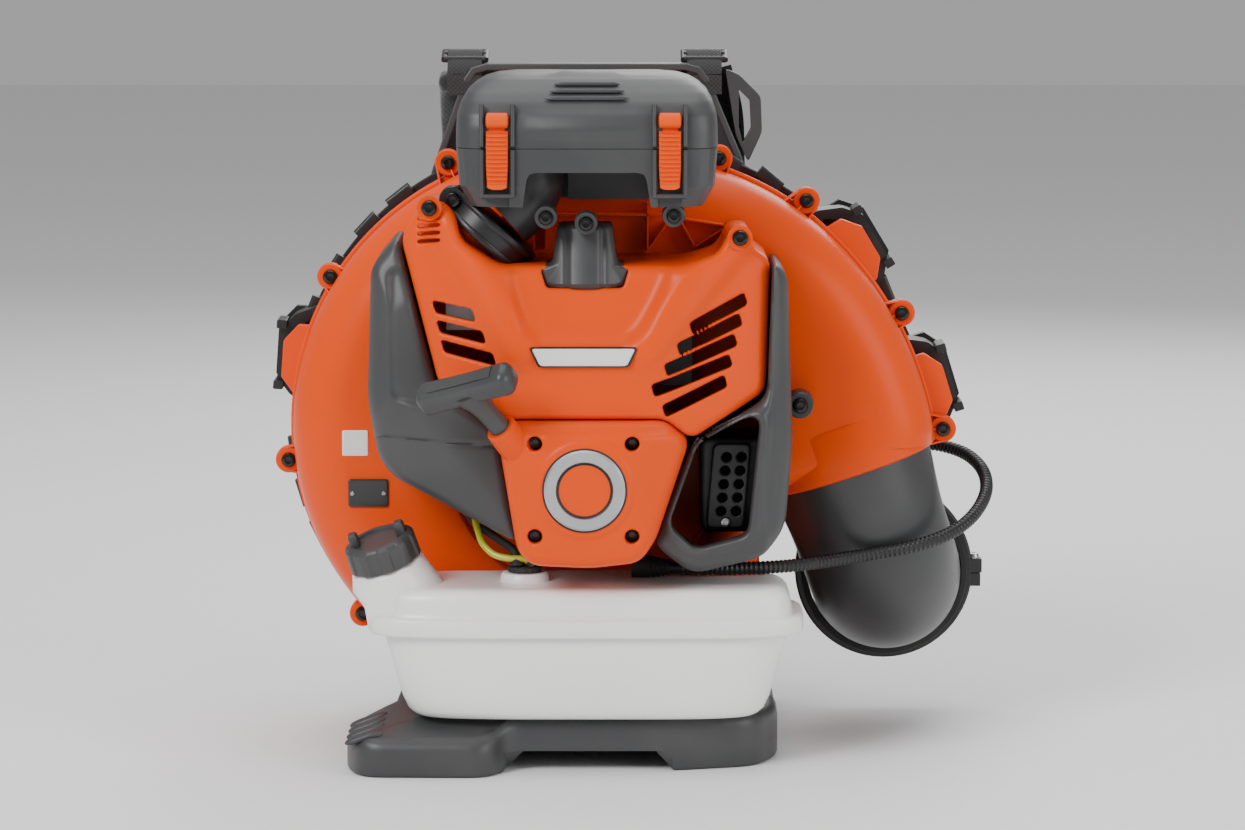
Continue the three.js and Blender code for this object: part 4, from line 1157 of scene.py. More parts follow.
@dataclass
class Covers:
    """The orange engine and starter covers, the grey side covers and what is fixed on them."""

    screw_spots: tuple = ((-33.5, 231), (32, 231), (-33.5, 168), (32, 168))
    badge: tuple = ((-37.5, 296), (36, 296), (30, 282.5), (-31.5, 282.5))

    @staticmethod
    def slot(x0: float, z0: float, x1: float, z1: float, half: float) -> np.ndarray:
        """A slanting slot with rounded ends."""
        return rounded([(x0, z0 - half), (x1 + half * 0.6, z1 - half), (x1, z1 + half),
                        (x0 - half * 0.6, z0 + half)], 2.6)

    def engine_height(self, x: np.ndarray, z: np.ndarray) -> np.ndarray:
        """The engine cover's face: sloping planes, two raised arms, and a hollow between them.

        Args:
            x: The points' X.
            z: The points' Z.

        Returns:
            The depth in Y.
        """
        planes = soft_max([-2 + 0 * x, -2 + 0.28 * (z - 300), -2 - 0.42 * (x + 52) + 0.06 * (z - 300),
                           -2 + 0.42 * (x - 46) + 0.06 * (z - 300)], 3.0)
        hollow = edge_distance(x, z, rounded([(-52, 352), (60, 352), (38, 300), (-40, 300)], 12))
        planes = planes + 7.0 / (1 + np.exp(hollow / 2.2))
        for start, end in (((-94, 372), (-44, 297)), ((98, 362), (42, 297))):
            line = edge_distance(x, z, np.array([start, end, end, start], float) + [[0, 0], [0, 0], [0.1, 0],
                    [0.1, 0]])
            planes = planes - 3.4 / (1 + np.exp((np.abs(line) - 12) / 2.0))
        low = edge_distance(x, z, rounded([(-60, 279), (58, 279), (50, 250), (-52, 250)], 8))
        return planes + 1.6 / (1 + np.exp(low / 1.2))

    def engine_cover(self) -> None:
        """The main cover with its slots, lugs, blank badge and screws."""
        edge = rounded([(-114, 386), (-99, 393), (-88, 385), (-84, 366), (-58, 349), (66, 349), (90, 356),
                        (98, 372),
                        (112, 372), (114, 360), (126, 352), (123, 262), (72, 232), (54, 246.2), (-49, 246.2),
                        (-60, 243), (-99, 268), (-125, 366)], 7)
        left = [self.slot(-101 + row * 3, 321 - row * 13.2, -76 + row * 7, 316 - row * 14.6,
                          4.4) for row in range(3)]
        right = [self.slot(73 - row * 8.6 + (16 if row == 4 else 0), 307 - row * 13.8, 108 - row * 3.4,
                           326 - row * 13.8, 4.3) for row in range(5)]
        small = [self.slot(-113, 380 - row * 5.2, -98, 382 - row * 5.2, 1.3) for row in range(4)]
        insert = rounded([(-30, 347), (-26, 334), (26, 334), (30, 347)], 3)
        shell = facing_shell(edge, self.engine_height, 119.0, [*left, *right, *small, insert], 6.5, 1.2, 1.3,
                             6)
        walls(piece("engine_shell", shell, Look.ORANGE, stands_for=["engine_cover"], sharp=50), 1.5)
        strip = rounded(self.badge, 2.2)
        backing = facing_shell(strip, level(-4.6), 2.0, roll=0.8, step=1.0)
        piece("badge_strip_edge", backing, Look.BLACK)
        middle = strip.mean(axis=0)
        face = facing_shell((strip - middle) * [0.95, 0.86] + middle, level(-5.2), -4.0,
                            roll=0.6, step=1.0)
        piece("badge_strip", face, Look.LABEL)
        lugs = [revolve([(0, -6), (7.5, -6), (8.5, 5), (0, 5)], (x, 24, z), (0, -1, 0), 28)
                for x, z in ((-105, 388), (105, 368))]
        piece("cover_lugs", lugs[0].plus(*lugs[1:]), Look.ORANGE)
        piece("cover_screws", screw_heads([(-105, 19.0, 388), (105, 19.0, 368)], (0, -1, 0), 5.4, 4.4),
              Look.SCREW)

    def starter_height(self, x: np.ndarray, z: np.ndarray) -> np.ndarray:
        """The starter cover's face: flat centre, facets at both sides and below, and a ring round the badge.

        Args:
            x: The points' X.
            z: The points' Z.

        Returns:
            The depth in Y.
        """
        planes = soft_max([-12 + 0 * x, -12 - 0.25 * (z - 166), -12 - 0.5 * (x + 30), -12 + 0.5 * (x - 34)],
                          1.6)
        ring = np.hypot(x, z - 200)
        planes = planes - 1.6 / (1 + np.exp((ring - 33) / 0.8))
        waist = 1.8 / (1 + np.exp((np.abs(z - 239) - 3.2) / 0.7))
        return planes + waist

    def starter_cover(self) -> None:
        """The recoil starter's cover with its deep screw holes and the ring badge."""
        edge = rounded([(-60, 240), (-46, 157), (-36, 147), (3, 145), (37, 149), (48, 164), (71, 231),
                        (55, 245.6),
                        (-50, 245.6)], 8)
        holes = [circle(5.0, 28) + spot for spot in self.screw_spots]
        shell = facing_shell(edge, self.starter_height, 56.0, holes, 7.0, 1.6, 1.1, 16)
        walls(piece("starter_shell", shell, Look.ORANGE, stands_for=["starter_cover"], sharp=50), 2.6)
        heads = screw_heads([(x, 1.0, z) for x, z in self.screw_spots], (0, -1, 0), 4.4, 3.4)
        piece("starter_screws", heads, Look.SCREW)
        ring = revolve([(18.5, 0), (19.5, 1.9), (26, 1.9), (27.4, 0.6), (27.4, -1.2), (18.5, -1.2),
                        (18.5, 0)],
                       (0, -13.4, 200), (0, -1, 0), 96)
        piece("badge_ring", ring, Look.SILVER, stands_for=["emblem_ring"])
        edge_ring = revolve([(27.2, 0.2), (28.6, 0.4), (28.6, -1.2), (27.2, -1.2), (27.2, 0.2)],
                            (0, -13.4, 200), (0, -1, 0), 96)
        inner_ring = revolve([(17.4, -1.2), (17.4, 0.4), (18.7, 0.2), (18.7, -1.2), (17.4, -1.2)],
                             (0, -13.4, 200), (0, -1, 0), 96)
        piece("badge_edges", edge_ring.plus(inner_ring), Look.BLACK)
        direction = np.array([-0.51, -0.52, 0.685])
        guide = np.array([-57, -6, 242.0])
        boss = revolve([(0, -26), (12, -26), (11.4, -8), (10.8, -1.5), (9.2, 0.2), (5.2, 0.4), (3.2, -2.0),
                        (3.0, -10),
                        (0, -10)], guide, direction, 48)
        piece("rope_guide", boss, Look.ORANGE)
        collar = revolve([(5.4, -0.4), (7.4, 0.2), (7.0, 2.6), (4.2, 3.0), (3.0, 1.4), (3.0, -0.4),
                          (5.4, -0.4)],
                         guide, direction, 40)
        piece("rope_collar", collar, Look.BLACK)

    def side_covers(self) -> None:
        """The grey covers at the left and right, with the window in front of the muffler."""
        def left_face(x: np.ndarray, z: np.ndarray) -> np.ndarray:
            """The left cover's face.

            Args:
                x: The points' X.
                z: The points' Z.

            Returns:
                The depth in Y.
            """
            planes = soft_max([24 + 0 * x, 24 - 0.9 * (x + 130), 24 - 0.35 * (x + 100) - 0.3 * (z - 230),
                               30 - 0.2 * (x + 120) + 0.35 * (z - 340)], 0.9)
            dip = edge_distance(x, z, rounded([(-133, 345), (-118, 345), (-99, 268), (-106, 252),
                                               (-132, 258)], 7))
            seam = np.abs(z - 229 + 0.06 * (x + 120))
            lower = 1 / (1 + np.exp((z - 229 + 0.06 * (x + 120)) / 0.5))
            return planes + 4.0 / (1 + np.exp(dip / 0.9)) + 1.6 * np.exp(-(seam / 1.1) ** 2) + 1.5 * lower

        def right_face(x: np.ndarray, z: np.ndarray) -> np.ndarray:
            """The right cover's face, raised round the window.

            Args:
                x: The points' X.
                z: The points' Z.

            Returns:
                The depth in Y.
            """
            planes = soft_max([18 + 0 * x, 18 + 0.9 * (x - 128), 18 - 0.35 * (z - 156)], 1.2)
            frame_gap = edge_distance(x, z, self.window())
            bevel = 4.5 / (1 + np.exp(-(x - 127 - 0.02 * (z - 250)) / 1.0))
            return planes - 3.0 / (1 + np.exp((frame_gap - 7) / 0.9)) + bevel

        left = rounded([(-127.6, 368), (-146, 346), (-149, 256), (-142, 214), (-131, 200), (-46, 157),
                        (-59, 238),
                        (-100.5, 264.5)], 8)
        walls(piece("left_shell", facing_shell(left, left_face, 119.0, (), 7.0, step=1.6), Look.GREY,
                    stands_for=["side_cover_left"], sharp=50), 3.0)
        right = rounded([(127.6, 352), (138, 342), (142, 226), (137, 168), (121, 148), (73, 136), (46, 158),
                         (72.4, 228),
                         (124, 258)], 10)
        walls(piece("right_shell", facing_shell(right, right_face, 119.0, [self.window()], 8.0, 3.0, 1.4,
                12), Look.GREY,
                    stands_for=["side_cover_right"], sharp=50), 3.0)

    @staticmethod
    def window() -> np.ndarray:
        """The opening in the right cover."""
        return rounded([(78, 231), (113, 247), (119, 243), (111, 165), (75, 155), (57, 172)], 7)

    def build(self) -> None:
        """Build the covers."""
        self.engine_cover()
        self.starter_cover()
        self.side_covers()
        lug = revolve([(0, -14), (10, -14), (9.2, 3), (8.4, 4), (0, 4)], (149, 96, 245), (0, -1, 0), 32)
        piece("right_lug", lug, Look.GREY)
        piece("right_screw", screw_heads([(149, 92.2, 245)], (0, -1, 0), 5.4, 4.2), Look.SCREW)

        def hood_face(x: np.ndarray, z: np.ndarray) -> np.ndarray:
            """The intake hood's face: a rounded hood with two grooves on a flared skirt.

            Args:
                x: The points' X.
                z: The points' Z.

            Returns:
                The depth in Y.
            """
            hood = 13 + 0.30 * (z - 345) + 0.014 * x * x + 1.8 * np.exp(-((np.abs(x) - 12) / 1.7) ** 2)
            skirt = 17 + 0.1 * np.abs(x) + 0 * z
            return np.where(z < 349.5, np.minimum(hood + 1.2 * (z < 336), skirt), hood)

        hood = rounded([(-31, 348), (-26.5, 333.5), (26.5, 333.5), (31, 348), (22, 350), (18.5, 376),
                        (-18.5, 376),
                        (-22, 350)], 3)
        walls(piece("intake_hood", facing_shell(hood, hood_face, 60.0, (), 3.4, step=1.2), Look.GREY,
                    stands_for=["snorkel_cover"], sharp=50), 2.0)


@dataclass
class StarterGrip:
    """The T-grip and its rope."""

    exit: tuple = (-57.0, -6.0, 242.0)
    pull: tuple = (-0.51, -0.52, 0.685)
    bar: tuple = (0.841, -0.467, 0.271)
    reach: float = 42.0
    half: float = 36.0

    def point(self, along: float, across: float = 0.0) -> np.ndarray:
        """A point along the pull and across along the bar."""
        return np.array(self.exit) + np.array(self.pull) * along + np.array(self.bar) * across

    def build(self) -> None:
        """Build the grip and the rope, which stretches between the cover and the grip."""
        place = np.linspace(-self.half - 2, self.half + 2, 64)
        path = np.array([self.point(self.reach, across) for across in place])
        end = np.clip((self.half + 2 - np.abs(place)) / 7.0, 0.0, 1.0)
        size = (0.05 + 0.95 * np.sqrt(1 - (1 - end) ** 2)) * (1.0 + 0.10 * (place / self.half) ** 2)
        bar = sweep(path, soft_box(9.6, 9.2, 3.0, 48), size, up=self.pull)
        stem = revolve([(0, 0.8), (6.0, 0.8), (7.2, 2.2), (7.0, 8), (7.4, 18), (9.0, 28), (11.5, 36),
                        (11.5, 42), (0, 42)],
                       self.exit, self.pull, 40)
        piece("grip_body", bar.plus(stem), Look.GREY_SMOOTH, "starter_grip", ["starter_grip"])
        inset = np.array([self.point(self.reach + 9.7, across) for across in np.linspace(-25, 25, 24)])
        piece("grip_inset", sweep(inset, soft_box(4.6, 0.7, 4, 24), up=self.pull), Look.GREY, "starter_grip")
        line = np.array([self.point(along) for along in np.linspace(-32, 6, 90)])
        lay = 1.0 + 0.07 * np.sin(np.linspace(0, 60, 90))
        rope = piece("pull_rope", sweep(line, circle(2.1, 16), lay, up=(0, 1, 0)), Look.ROPE,
                     stands_for=["starter_rope"])
        rope.parent = None
        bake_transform(rope)


@dataclass
class AirFilter:
    """The filter box: ribbed lid, tray, latches, duct and clamp."""

    x: float = 1.5
    front: float = -5.0
    back: float = 117.0
    split: float = 429.7
    latch_x: tuple = (-58.4, 57.3)

    def lid(self) -> None:
        """The lid: a stack of soft rectangles with a shoulder and a raised middle with three louvres."""
        knots = np.array([[429.7, 88.5, -5, 117], [444, 88.3, -4.4, 117], [452, 87.6, -2.4, 117],
                          [460, 85, 3, 115.5],
                          [466, 81.5, 9.5, 114], [471, 76, 17.5, 111.5], [474.5, 70, 25.5, 108],
                          [477, 62, 35, 102],
                          [478, 52, 44, 96]])
        place = np.linspace(0, 1, 34)
        rows = np.stack([np.interp(place, np.linspace(0, 1, len(knots)), knots[:, k]) for k in range(4)],
                        axis=1)
        base = soft_box(1.0, 1.0, 7.0, 160)
        rings = []
        for z, half, front, back in rows:
            x = self.x + base[:, 0] * half
            y = (front + back) / 2 + base[:, 1] * (back - front) / 2
            middle = 1 / (1 + np.exp((np.abs(x - self.x) - 36 + 0.35 * (z - 430)) / 0.8))
            facing = np.clip(-base[:, 1], 0, 1) ** 3
            y = y - 3.4 * middle * facing * min(1.0, max(0.0, (z - 436) / 4))
            rings.append(np.stack([x, y, np.full(len(x), z) + 1.6 * middle * max(0.0, (z - 470) / 8)],
                                  axis=1))
        piece("filter_lid_shell", loft(np.array(rings)), Look.GREY, "filter_lid", ["filter_lid"], 40)
        bars = []
        for row in range(3):
            z = 463.0 + row * 4.4
            depth = float(np.interp(z, knots[:, 0], knots[:, 2]))
            reach = 28.5 - row * 3.2
            line = np.stack([np.linspace(-reach, reach, 20) + self.x, np.full(20, depth - 2.6),
                             np.full(20, z)], axis=1)
            bars.append(sweep(line, soft_box(1.5, 1.5, 3, 24), np.clip(np.linspace(0, 14, 20), 0.2, 1)
                              * np.clip(np.linspace(14, 0, 20), 0.2, 1), up=(0, 0.25, 1)))
        piece("lid_louvres", bars[0].plus(*bars[1:]), Look.GREY, "filter_lid")
        frames = []
        for x in self.latch_x:
            for side in (-1, 1):
                line = np.stack([np.full(14, x + side * 10.4), np.linspace(-5.4, -2.0, 14),
                                 np.linspace(431, 459, 14)], axis=1)
                frames.append(sweep(line, soft_box(1.7, 3.6, 3, 20), up=(0, 1, 0)))
        piece("latch_frames", frames[0].plus(*frames[1:]), Look.GREY, "filter_lid")
        lower = []
        for x in self.latch_x:
            for side in (-1, 1):
                line = np.stack([np.full(14, x + side * 10.4), np.linspace(-5.0, -5.4, 14),
                                 np.linspace(397, 429, 14)],
                                axis=1)
                lower.append(sweep(line, soft_box(1.7, 3.6, 3, 20), up=(0, 1, 0)))
            line = np.stack([np.linspace(x - 11.6, x + 11.6, 14), np.full(14, -4.6), np.full(14, 398.0)],
                            axis=1)
            lower.append(sweep(line, soft_box(1.6, 3.4, 3, 20), up=(0, 1, 0)))
        piece("latch_frames_lower", lower[0].plus(*lower[1:]), Look.GREY)

    def latch(self, side: str, x: float) -> None:
        """One orange latch: a round roll at its hinge and a tongue with cross ribs.

        Args:
            side: Left or right, as in its name.
            x: Its middle.
        """
        roll_line = np.stack([np.linspace(x - 7.6, x + 7.6, 24), np.full(24, -4.6), np.full(24, 448.5)],
                             axis=1)
        rounding = np.sqrt(1 - (1 - np.clip((7.9 - np.abs(np.linspace(-7.6, 7.6, 24))) / 1.6, 0, 1)) ** 2)
        roll = sweep(roll_line, circle(5.2, 28), rounding)
        web = sweep(np.stack([np.full(8, x), np.full(8, -2.4), np.linspace(447, 439, 8)], axis=1),
                    soft_box(6.0, 2.2, 4, 24), up=(0, 1, 0))
        z = np.linspace(441.4, 402.5, 220)
        ripple = 0.8 * np.clip(1.6 * np.sin((445 - z) * 2 * np.pi / 2.9), -1, 1)
        thick = 3.4 + ripple * np.clip((445 - z) / 3, 0, 1) * np.clip((z - 405) / 2, 0, 1)
        centre = -5.2 - 1.2 * np.sin(np.clip((445 - z) / 42, 0, 1) * np.pi)
        section = soft_box(1.0, 1.0, 6.0, 40)
        taper = 7.4 - 0.7 * np.clip((418 - z) / 14, 0, 1) - 3 * np.clip((404 - z) / 1.5, 0, 1) ** 2
        rings = np.stack([x + section[None, :, 0] * taper[:, None],
                          centre[:, None] + section[None, :, 1] * thick[:, None],
                          np.broadcast_to(z[:, None], (220, 40))], axis=-1)
        piece(f"latch_{side}_body", roll.plus(web, loft(rings)), Look.ORANGE_LATCH, f"latch_{side}",
              [f"latch_{side}"])

    def build(self) -> None:
        """Build the filter box."""
        self.lid()
        for side, x in zip(("left", "right"), self.latch_x):
            self.latch(side, x)
        cad("filter_base", Look.GREY, 1.4)
        cad("filter_element", Look.PAPER, 0)
        duct = smooth_path([(-40, 61, 411), (-40, 61, 402), (-46, 61, 391), (-57, 60, 380.6)], 40)
        piece("duct", sweep(duct, circle(25, 72), up=(0, 1, 0)), Look.GREY_SMOOTH,
              stands_for=["intake_duct"])
        collar = revolve([(0, 0), (33, 0), (34, 1), (34, 17.4), (33, 18.4), (0, 18.4)], (-59.8, 60, 377.4),
                         (-12.2, 0, -13.5), 80)
        ear = revolve([(0, 0), (8.6, 0), (9.2, 1), (9.2, 15), (8.6, 16), (0, 16)], (-90, 40, 392), (0, 1, 0),
                      40)
        bridge = sweep(np.linspace((-90, 50, 392), (-76, 56, 379), 10), soft_box(5, 5.6, 4, 28),
                       up=(0, 1, 0))
        piece("duct_clamp_body", collar.plus(ear, bridge), Look.BLACK, stands_for=["duct_clamp"])
        bands = [revolve([(33.6, -2.2), (35.6, -2.2), (36.2, -1.2), (36.2, 1.2), (35.6, 2.2), (33.6, 2.2),
                          (33.6, -2.2)],
                         spot, (-12.2, 0, -13.5), 64) for spot in ((-61.8, 60, 375.2), (-70.2, 60, 365.9))]
        piece("clamp_bands", bands[0].plus(bands[1]), Look.BLACK)
        piece("clamp_screw", screw_heads([(-90, 39.6, 392)], (0, -1, 0), 5.4, 4.2), Look.SCREW)
        spots = [(-26, 6, 383), (1, 6, 379), (60, 6, 384)]
        lugs = [revolve([(0, -12), (8, -12), (7.4, 4), (0, 4)], spot, (0, -1, 0), 28) for spot in spots]
        piece("filter_lugs", lugs[0].plus(*lugs[1:]), Look.GREY_SMOOTH)
        piece("filter_screws", screw_heads([(x, y - 4.0, z) for x, y, z in spots], (0, -1, 0), 5.0, 4.0),
              Look.SCREW)


@dataclass
class FuelTank:
    """The pale tank, its grommet, cap and hoses."""

    x: float = 0.5
    middle: float = 65.0
    neck_axis: tuple = (-0.29, -0.24, 0.93)
    cap_place: tuple = (-137.0, 50.0, 142.0)

    def rings(self, rows: Points, sag: float = 0.0) -> np.ndarray:
        """Soft rectangles at (height, half width, half depth), with a slight belly along the front.

        Args:
            rows: The three sizes for each ring.
            sag: How much of the depth the belly adds.

        Returns:
            Points by ring, place in the ring, and axis.
        """
        section = soft_box(1.0, 1.0, 5.0, 160)
        belly = 1 + sag * np.cos(section[:, 0] * np.pi / 2)
        return np.array([np.stack([self.x + section[:, 0] * half,
                                   self.middle + section[:, 1] * depth * belly,
                                   np.full(len(section), float(z))], axis=1) for z, half, depth in rows])

    def shells(self) -> None:
        """The lower tub, and the upper half with its wide seam band and domed roof."""
        tub = [(36.8, 112, 42), (37.4, 116, 44.5), (39.2, 119.5, 46.8), (42.5, 123, 48.5), (50, 126.5, 49.4),
               (65, 131, 50), (80, 135, 50.4), (88, 137.6, 50.6), (93.6, 139, 50.8), (94.3, 139, 50.8)]
        piece("tank_tub", loft(self.rings(tub)), Look.TANK, stands_for=["tank_lower"], sharp=50)
        roof = [(94.7, 146.5, 54), (95.2, 148.8, 54.8), (96.2, 149.6, 55.1), (104.8, 149.6, 55.1),
                (106.2, 149, 54.9),
                (106.9, 147.6, 54.4), (107.1, 143.2, 51.4), (108.0, 142.2, 50.4), (112, 141.6, 50.0),
                (118, 140.4, 49.6),
                (121.6, 139.2, 48.8), (124.4, 136.8, 47.2), (126.2, 133.6, 45), (127, 129, 42),
                (127.2, 121, 36)]
        piece("tank_roof", loft(self.rings(roof, 0.012)), Look.TANK, stands_for=["tank_upper"], sharp=50)
        axis = np.array(self.neck_axis) / np.linalg.norm(self.neck_axis)
        neck = revolve([(0, -42), (36, -42), (35, -32), (31.5, -22), (28.4, -13), (26.2, -6), (25, -1.6),
                        (23, -0.4), (0, -0.4)],
                       self.cap_place, axis, 72)
        keep = neck.points.copy()
        keep[:, 2] = np.maximum(keep[:, 2], 97.5)
        keep[:, 0] = np.maximum(keep[:, 0], -149.0 - np.clip(keep[:, 2] - 108, 0, 12))
        keep[:, 1] = np.maximum(keep[:, 1], 12.0)
        piece("tank_neck_flare", Surface(keep, neck.faces), Look.TANK, sharp=50)
        boss = revolve([(0, -3), (17.5, -3), (17, 0), (16.4, 4.2), (15, 6), (8.6, 6.2), (8.2, 5), (0, 5)],
                       (-42, 62, 127), (0, 0, 1), 64)
        piece("tank_boss", boss, Look.TANK)
        cad("tank_grommet", Look.RUBBER, 0.8)

    def cap(self) -> None:
        """The fuel cap: a ribbed skirt, a rolled top edge, a sunk disc and a bar to turn it by."""
        first, second, axis = axes_for(self.neck_axis)
        angle = np.linspace(0, 2 * np.pi, 192, endpoint=False)
        ribs = np.clip(0.5 + 1.6 * np.sin(10 * angle), 0, 1)
        rows = [(0.6, 23.2, 0.5), (1.4, 24.2, 1.3), (14.5, 23.6, 1.5), (16.6, 23.0, 1.2), (18.2, 21.6, 0.4),
                (18.9, 19.6, 0.0), (18.6, 17.8, 0.0), (16.8, 17.0, 0.0), (16.6, 12.0, 0.0), (16.9, 2.0, 0.0)]
        circle_3d = np.cos(angle)[:, None] * first + np.sin(angle)[:, None] * second
        rings = np.array([circle_3d * (radius + ribs * rib)[:, None] + axis * up + np.array(self.cap_place)
                          for up, radius, rib in rows])
        cap = loft(rings)
        lugs = []
        for side in (-1, 1):
            middle = np.array(self.cap_place) + second * side * 16.5
            line = middle + axis * np.linspace(12, 26.5, 14)[:, None]
            lugs.append(sweep(line, soft_box(4.4, 3.4, 5, 28), np.array([1.0] * 11 + [0.97, 0.9, 0.74]),
                              up=second))
        piece("fuel_cap_body", cap.plus(*lugs), Look.GREY, "fuel_cap", ["fuel_cap"], 30)

    def hoses(self) -> None:
        """The black and the clear hose from the grommet up to the carburettor."""
        routes = (("fuel_line", "fuel_hose", 2.9, Look.RUBBER,
                   [(-47, 62, 137), (-49, 64, 146), (-60, 72, 154), (-74, 84, 162), (-84, 92, 172),
                    (-90, 98, 186),
                    (-93, 100, 200)]),
                  ("return_line", "return_hose", 2.4, Look.FUEL_HOSE,
                   [(-37, 62, 137.2), (-41, 60.5, 141.6), (-52, 61, 142.4), (-63, 65, 144.6), (-71, 71, 151),
                    (-75, 79, 160), (-79, 91, 176), (-83, 101, 190), (-84, 103, 200)]))
        for name, node, radius, look, route in routes:
            piece(name, sweep(smooth_path(route, 90), circle(radius, 24), up=(0.3, 0.9, 0.1)), look,
                  stands_for=[node])
        clips = [revolve([(3.0, -2.4), (4.6, -2.4), (4.9, 0), (4.6, 2.4), (3.0, 2.4), (3.0, -2.4)], place,
                         way, 28)
                 for place, way in (((-47.4, 62.3, 139.6), (-0.1, 0.1, 1)),
                                    ((-37.3, 62.4, 139.9), (-0.15, 0.15, 1)))]
        piece("hose_clips", clips[0].plus(clips[1]), Look.BLACK)

    def build(self) -> None:
        """Build the tank."""
        self.shells()
        self.cap()
        self.hoses()


@dataclass
class AirOutlet:
    """The elbow that turns the air to the rear, with the collar on the housing, the seal and the clamp."""

    place: tuple = (188.0, 185.0, 191.0)
    tilt: float = math.radians(18.4)
    tube: float = 55.0
    lead: float = 22.7
    bend: float = 70.0
    stub: float = 20.0

    def build(self) -> None:
        """Build the outlet."""
        axis = np.array([math.sin(self.tilt), 0.0, -math.cos(self.tilt)])
        start = np.array(self.place)
        straight = [start + axis * t for t in np.linspace(-11, self.lead, 8)]
        turn = [start + axis * (self.lead + self.bend * math.sin(a)) + np.array([0,
                self.bend * (1 - math.cos(a)), 0])
                for a in np.linspace(0, math.pi / 2, 34)[1:]]
        stub = [turn[-1] + np.array([0, t, 0]) for t in np.linspace(0, self.stub, 8)[1:]]
        path = np.array(straight + turn + stub)
        gone = np.linalg.norm(np.diff(path, axis=0), axis=1).cumsum()
        ease = np.clip(np.concatenate([[0.0], gone]) / 60.0, 0, 1)
        size = self.tube + 4.6 * (1 - ease * ease * (3 - 2 * ease))
        elbow = sweep(path, circle(1.0, 96), size, up=(1, 0, 0.3), capped=False)
        walls(piece("elbow", elbow, Look.GREY_SMOOTH, stands_for=["outlet_elbow"]), 3.5)
        steps = ((-37, 0.93), (-36, 0.985), (-34.5, 1.0), (-3, 1.0), (-1, 0.992), (0, 0.965), (0.2, 0.90),
                 (-2, 0.895))
        band = sweep(np.array([start + axis * t for t, _ in steps]), soft_box(64.5, 65.0, 2.5, 128),
                     np.array([size for _, size in steps]), up=(0, 1, 0), capped=False)
        piece("collar_band", band, Look.ORANGE)
        x, y, z = turn[-1]
        ribs = [(56.3, -3.8), (60, -3.8)] + [(60.4 - 0.9 * (k % 2), -3.0 + k * 1.15) for k in range(8)] + [
            (60, 5.8), (56.3, 5.8), (56.3, -3.8)]
        piece("seal_ring", revolve(ribs, (x, y, z), (0, 1, 0), 96), Look.RUBBER, stands_for=["outlet_seal"])
        cad("hose_clamp", Look.BLACK, 1.2)
        band = revolve([(63.6, 8.2), (65.0, 8.6), (65.0, 17), (63.6, 17.4), (63.6, 8.2)], (x, y, z),
                       (0, 1, 0), 96)
        piece("clamp_band", band, Look.BLACK)
        piece("hose_clamp_screw", screw_heads([(x + 66, y + 12.5, z + 8.2)], (0, 0, 1), 4.2, 3.6),
              Look.STEEL)


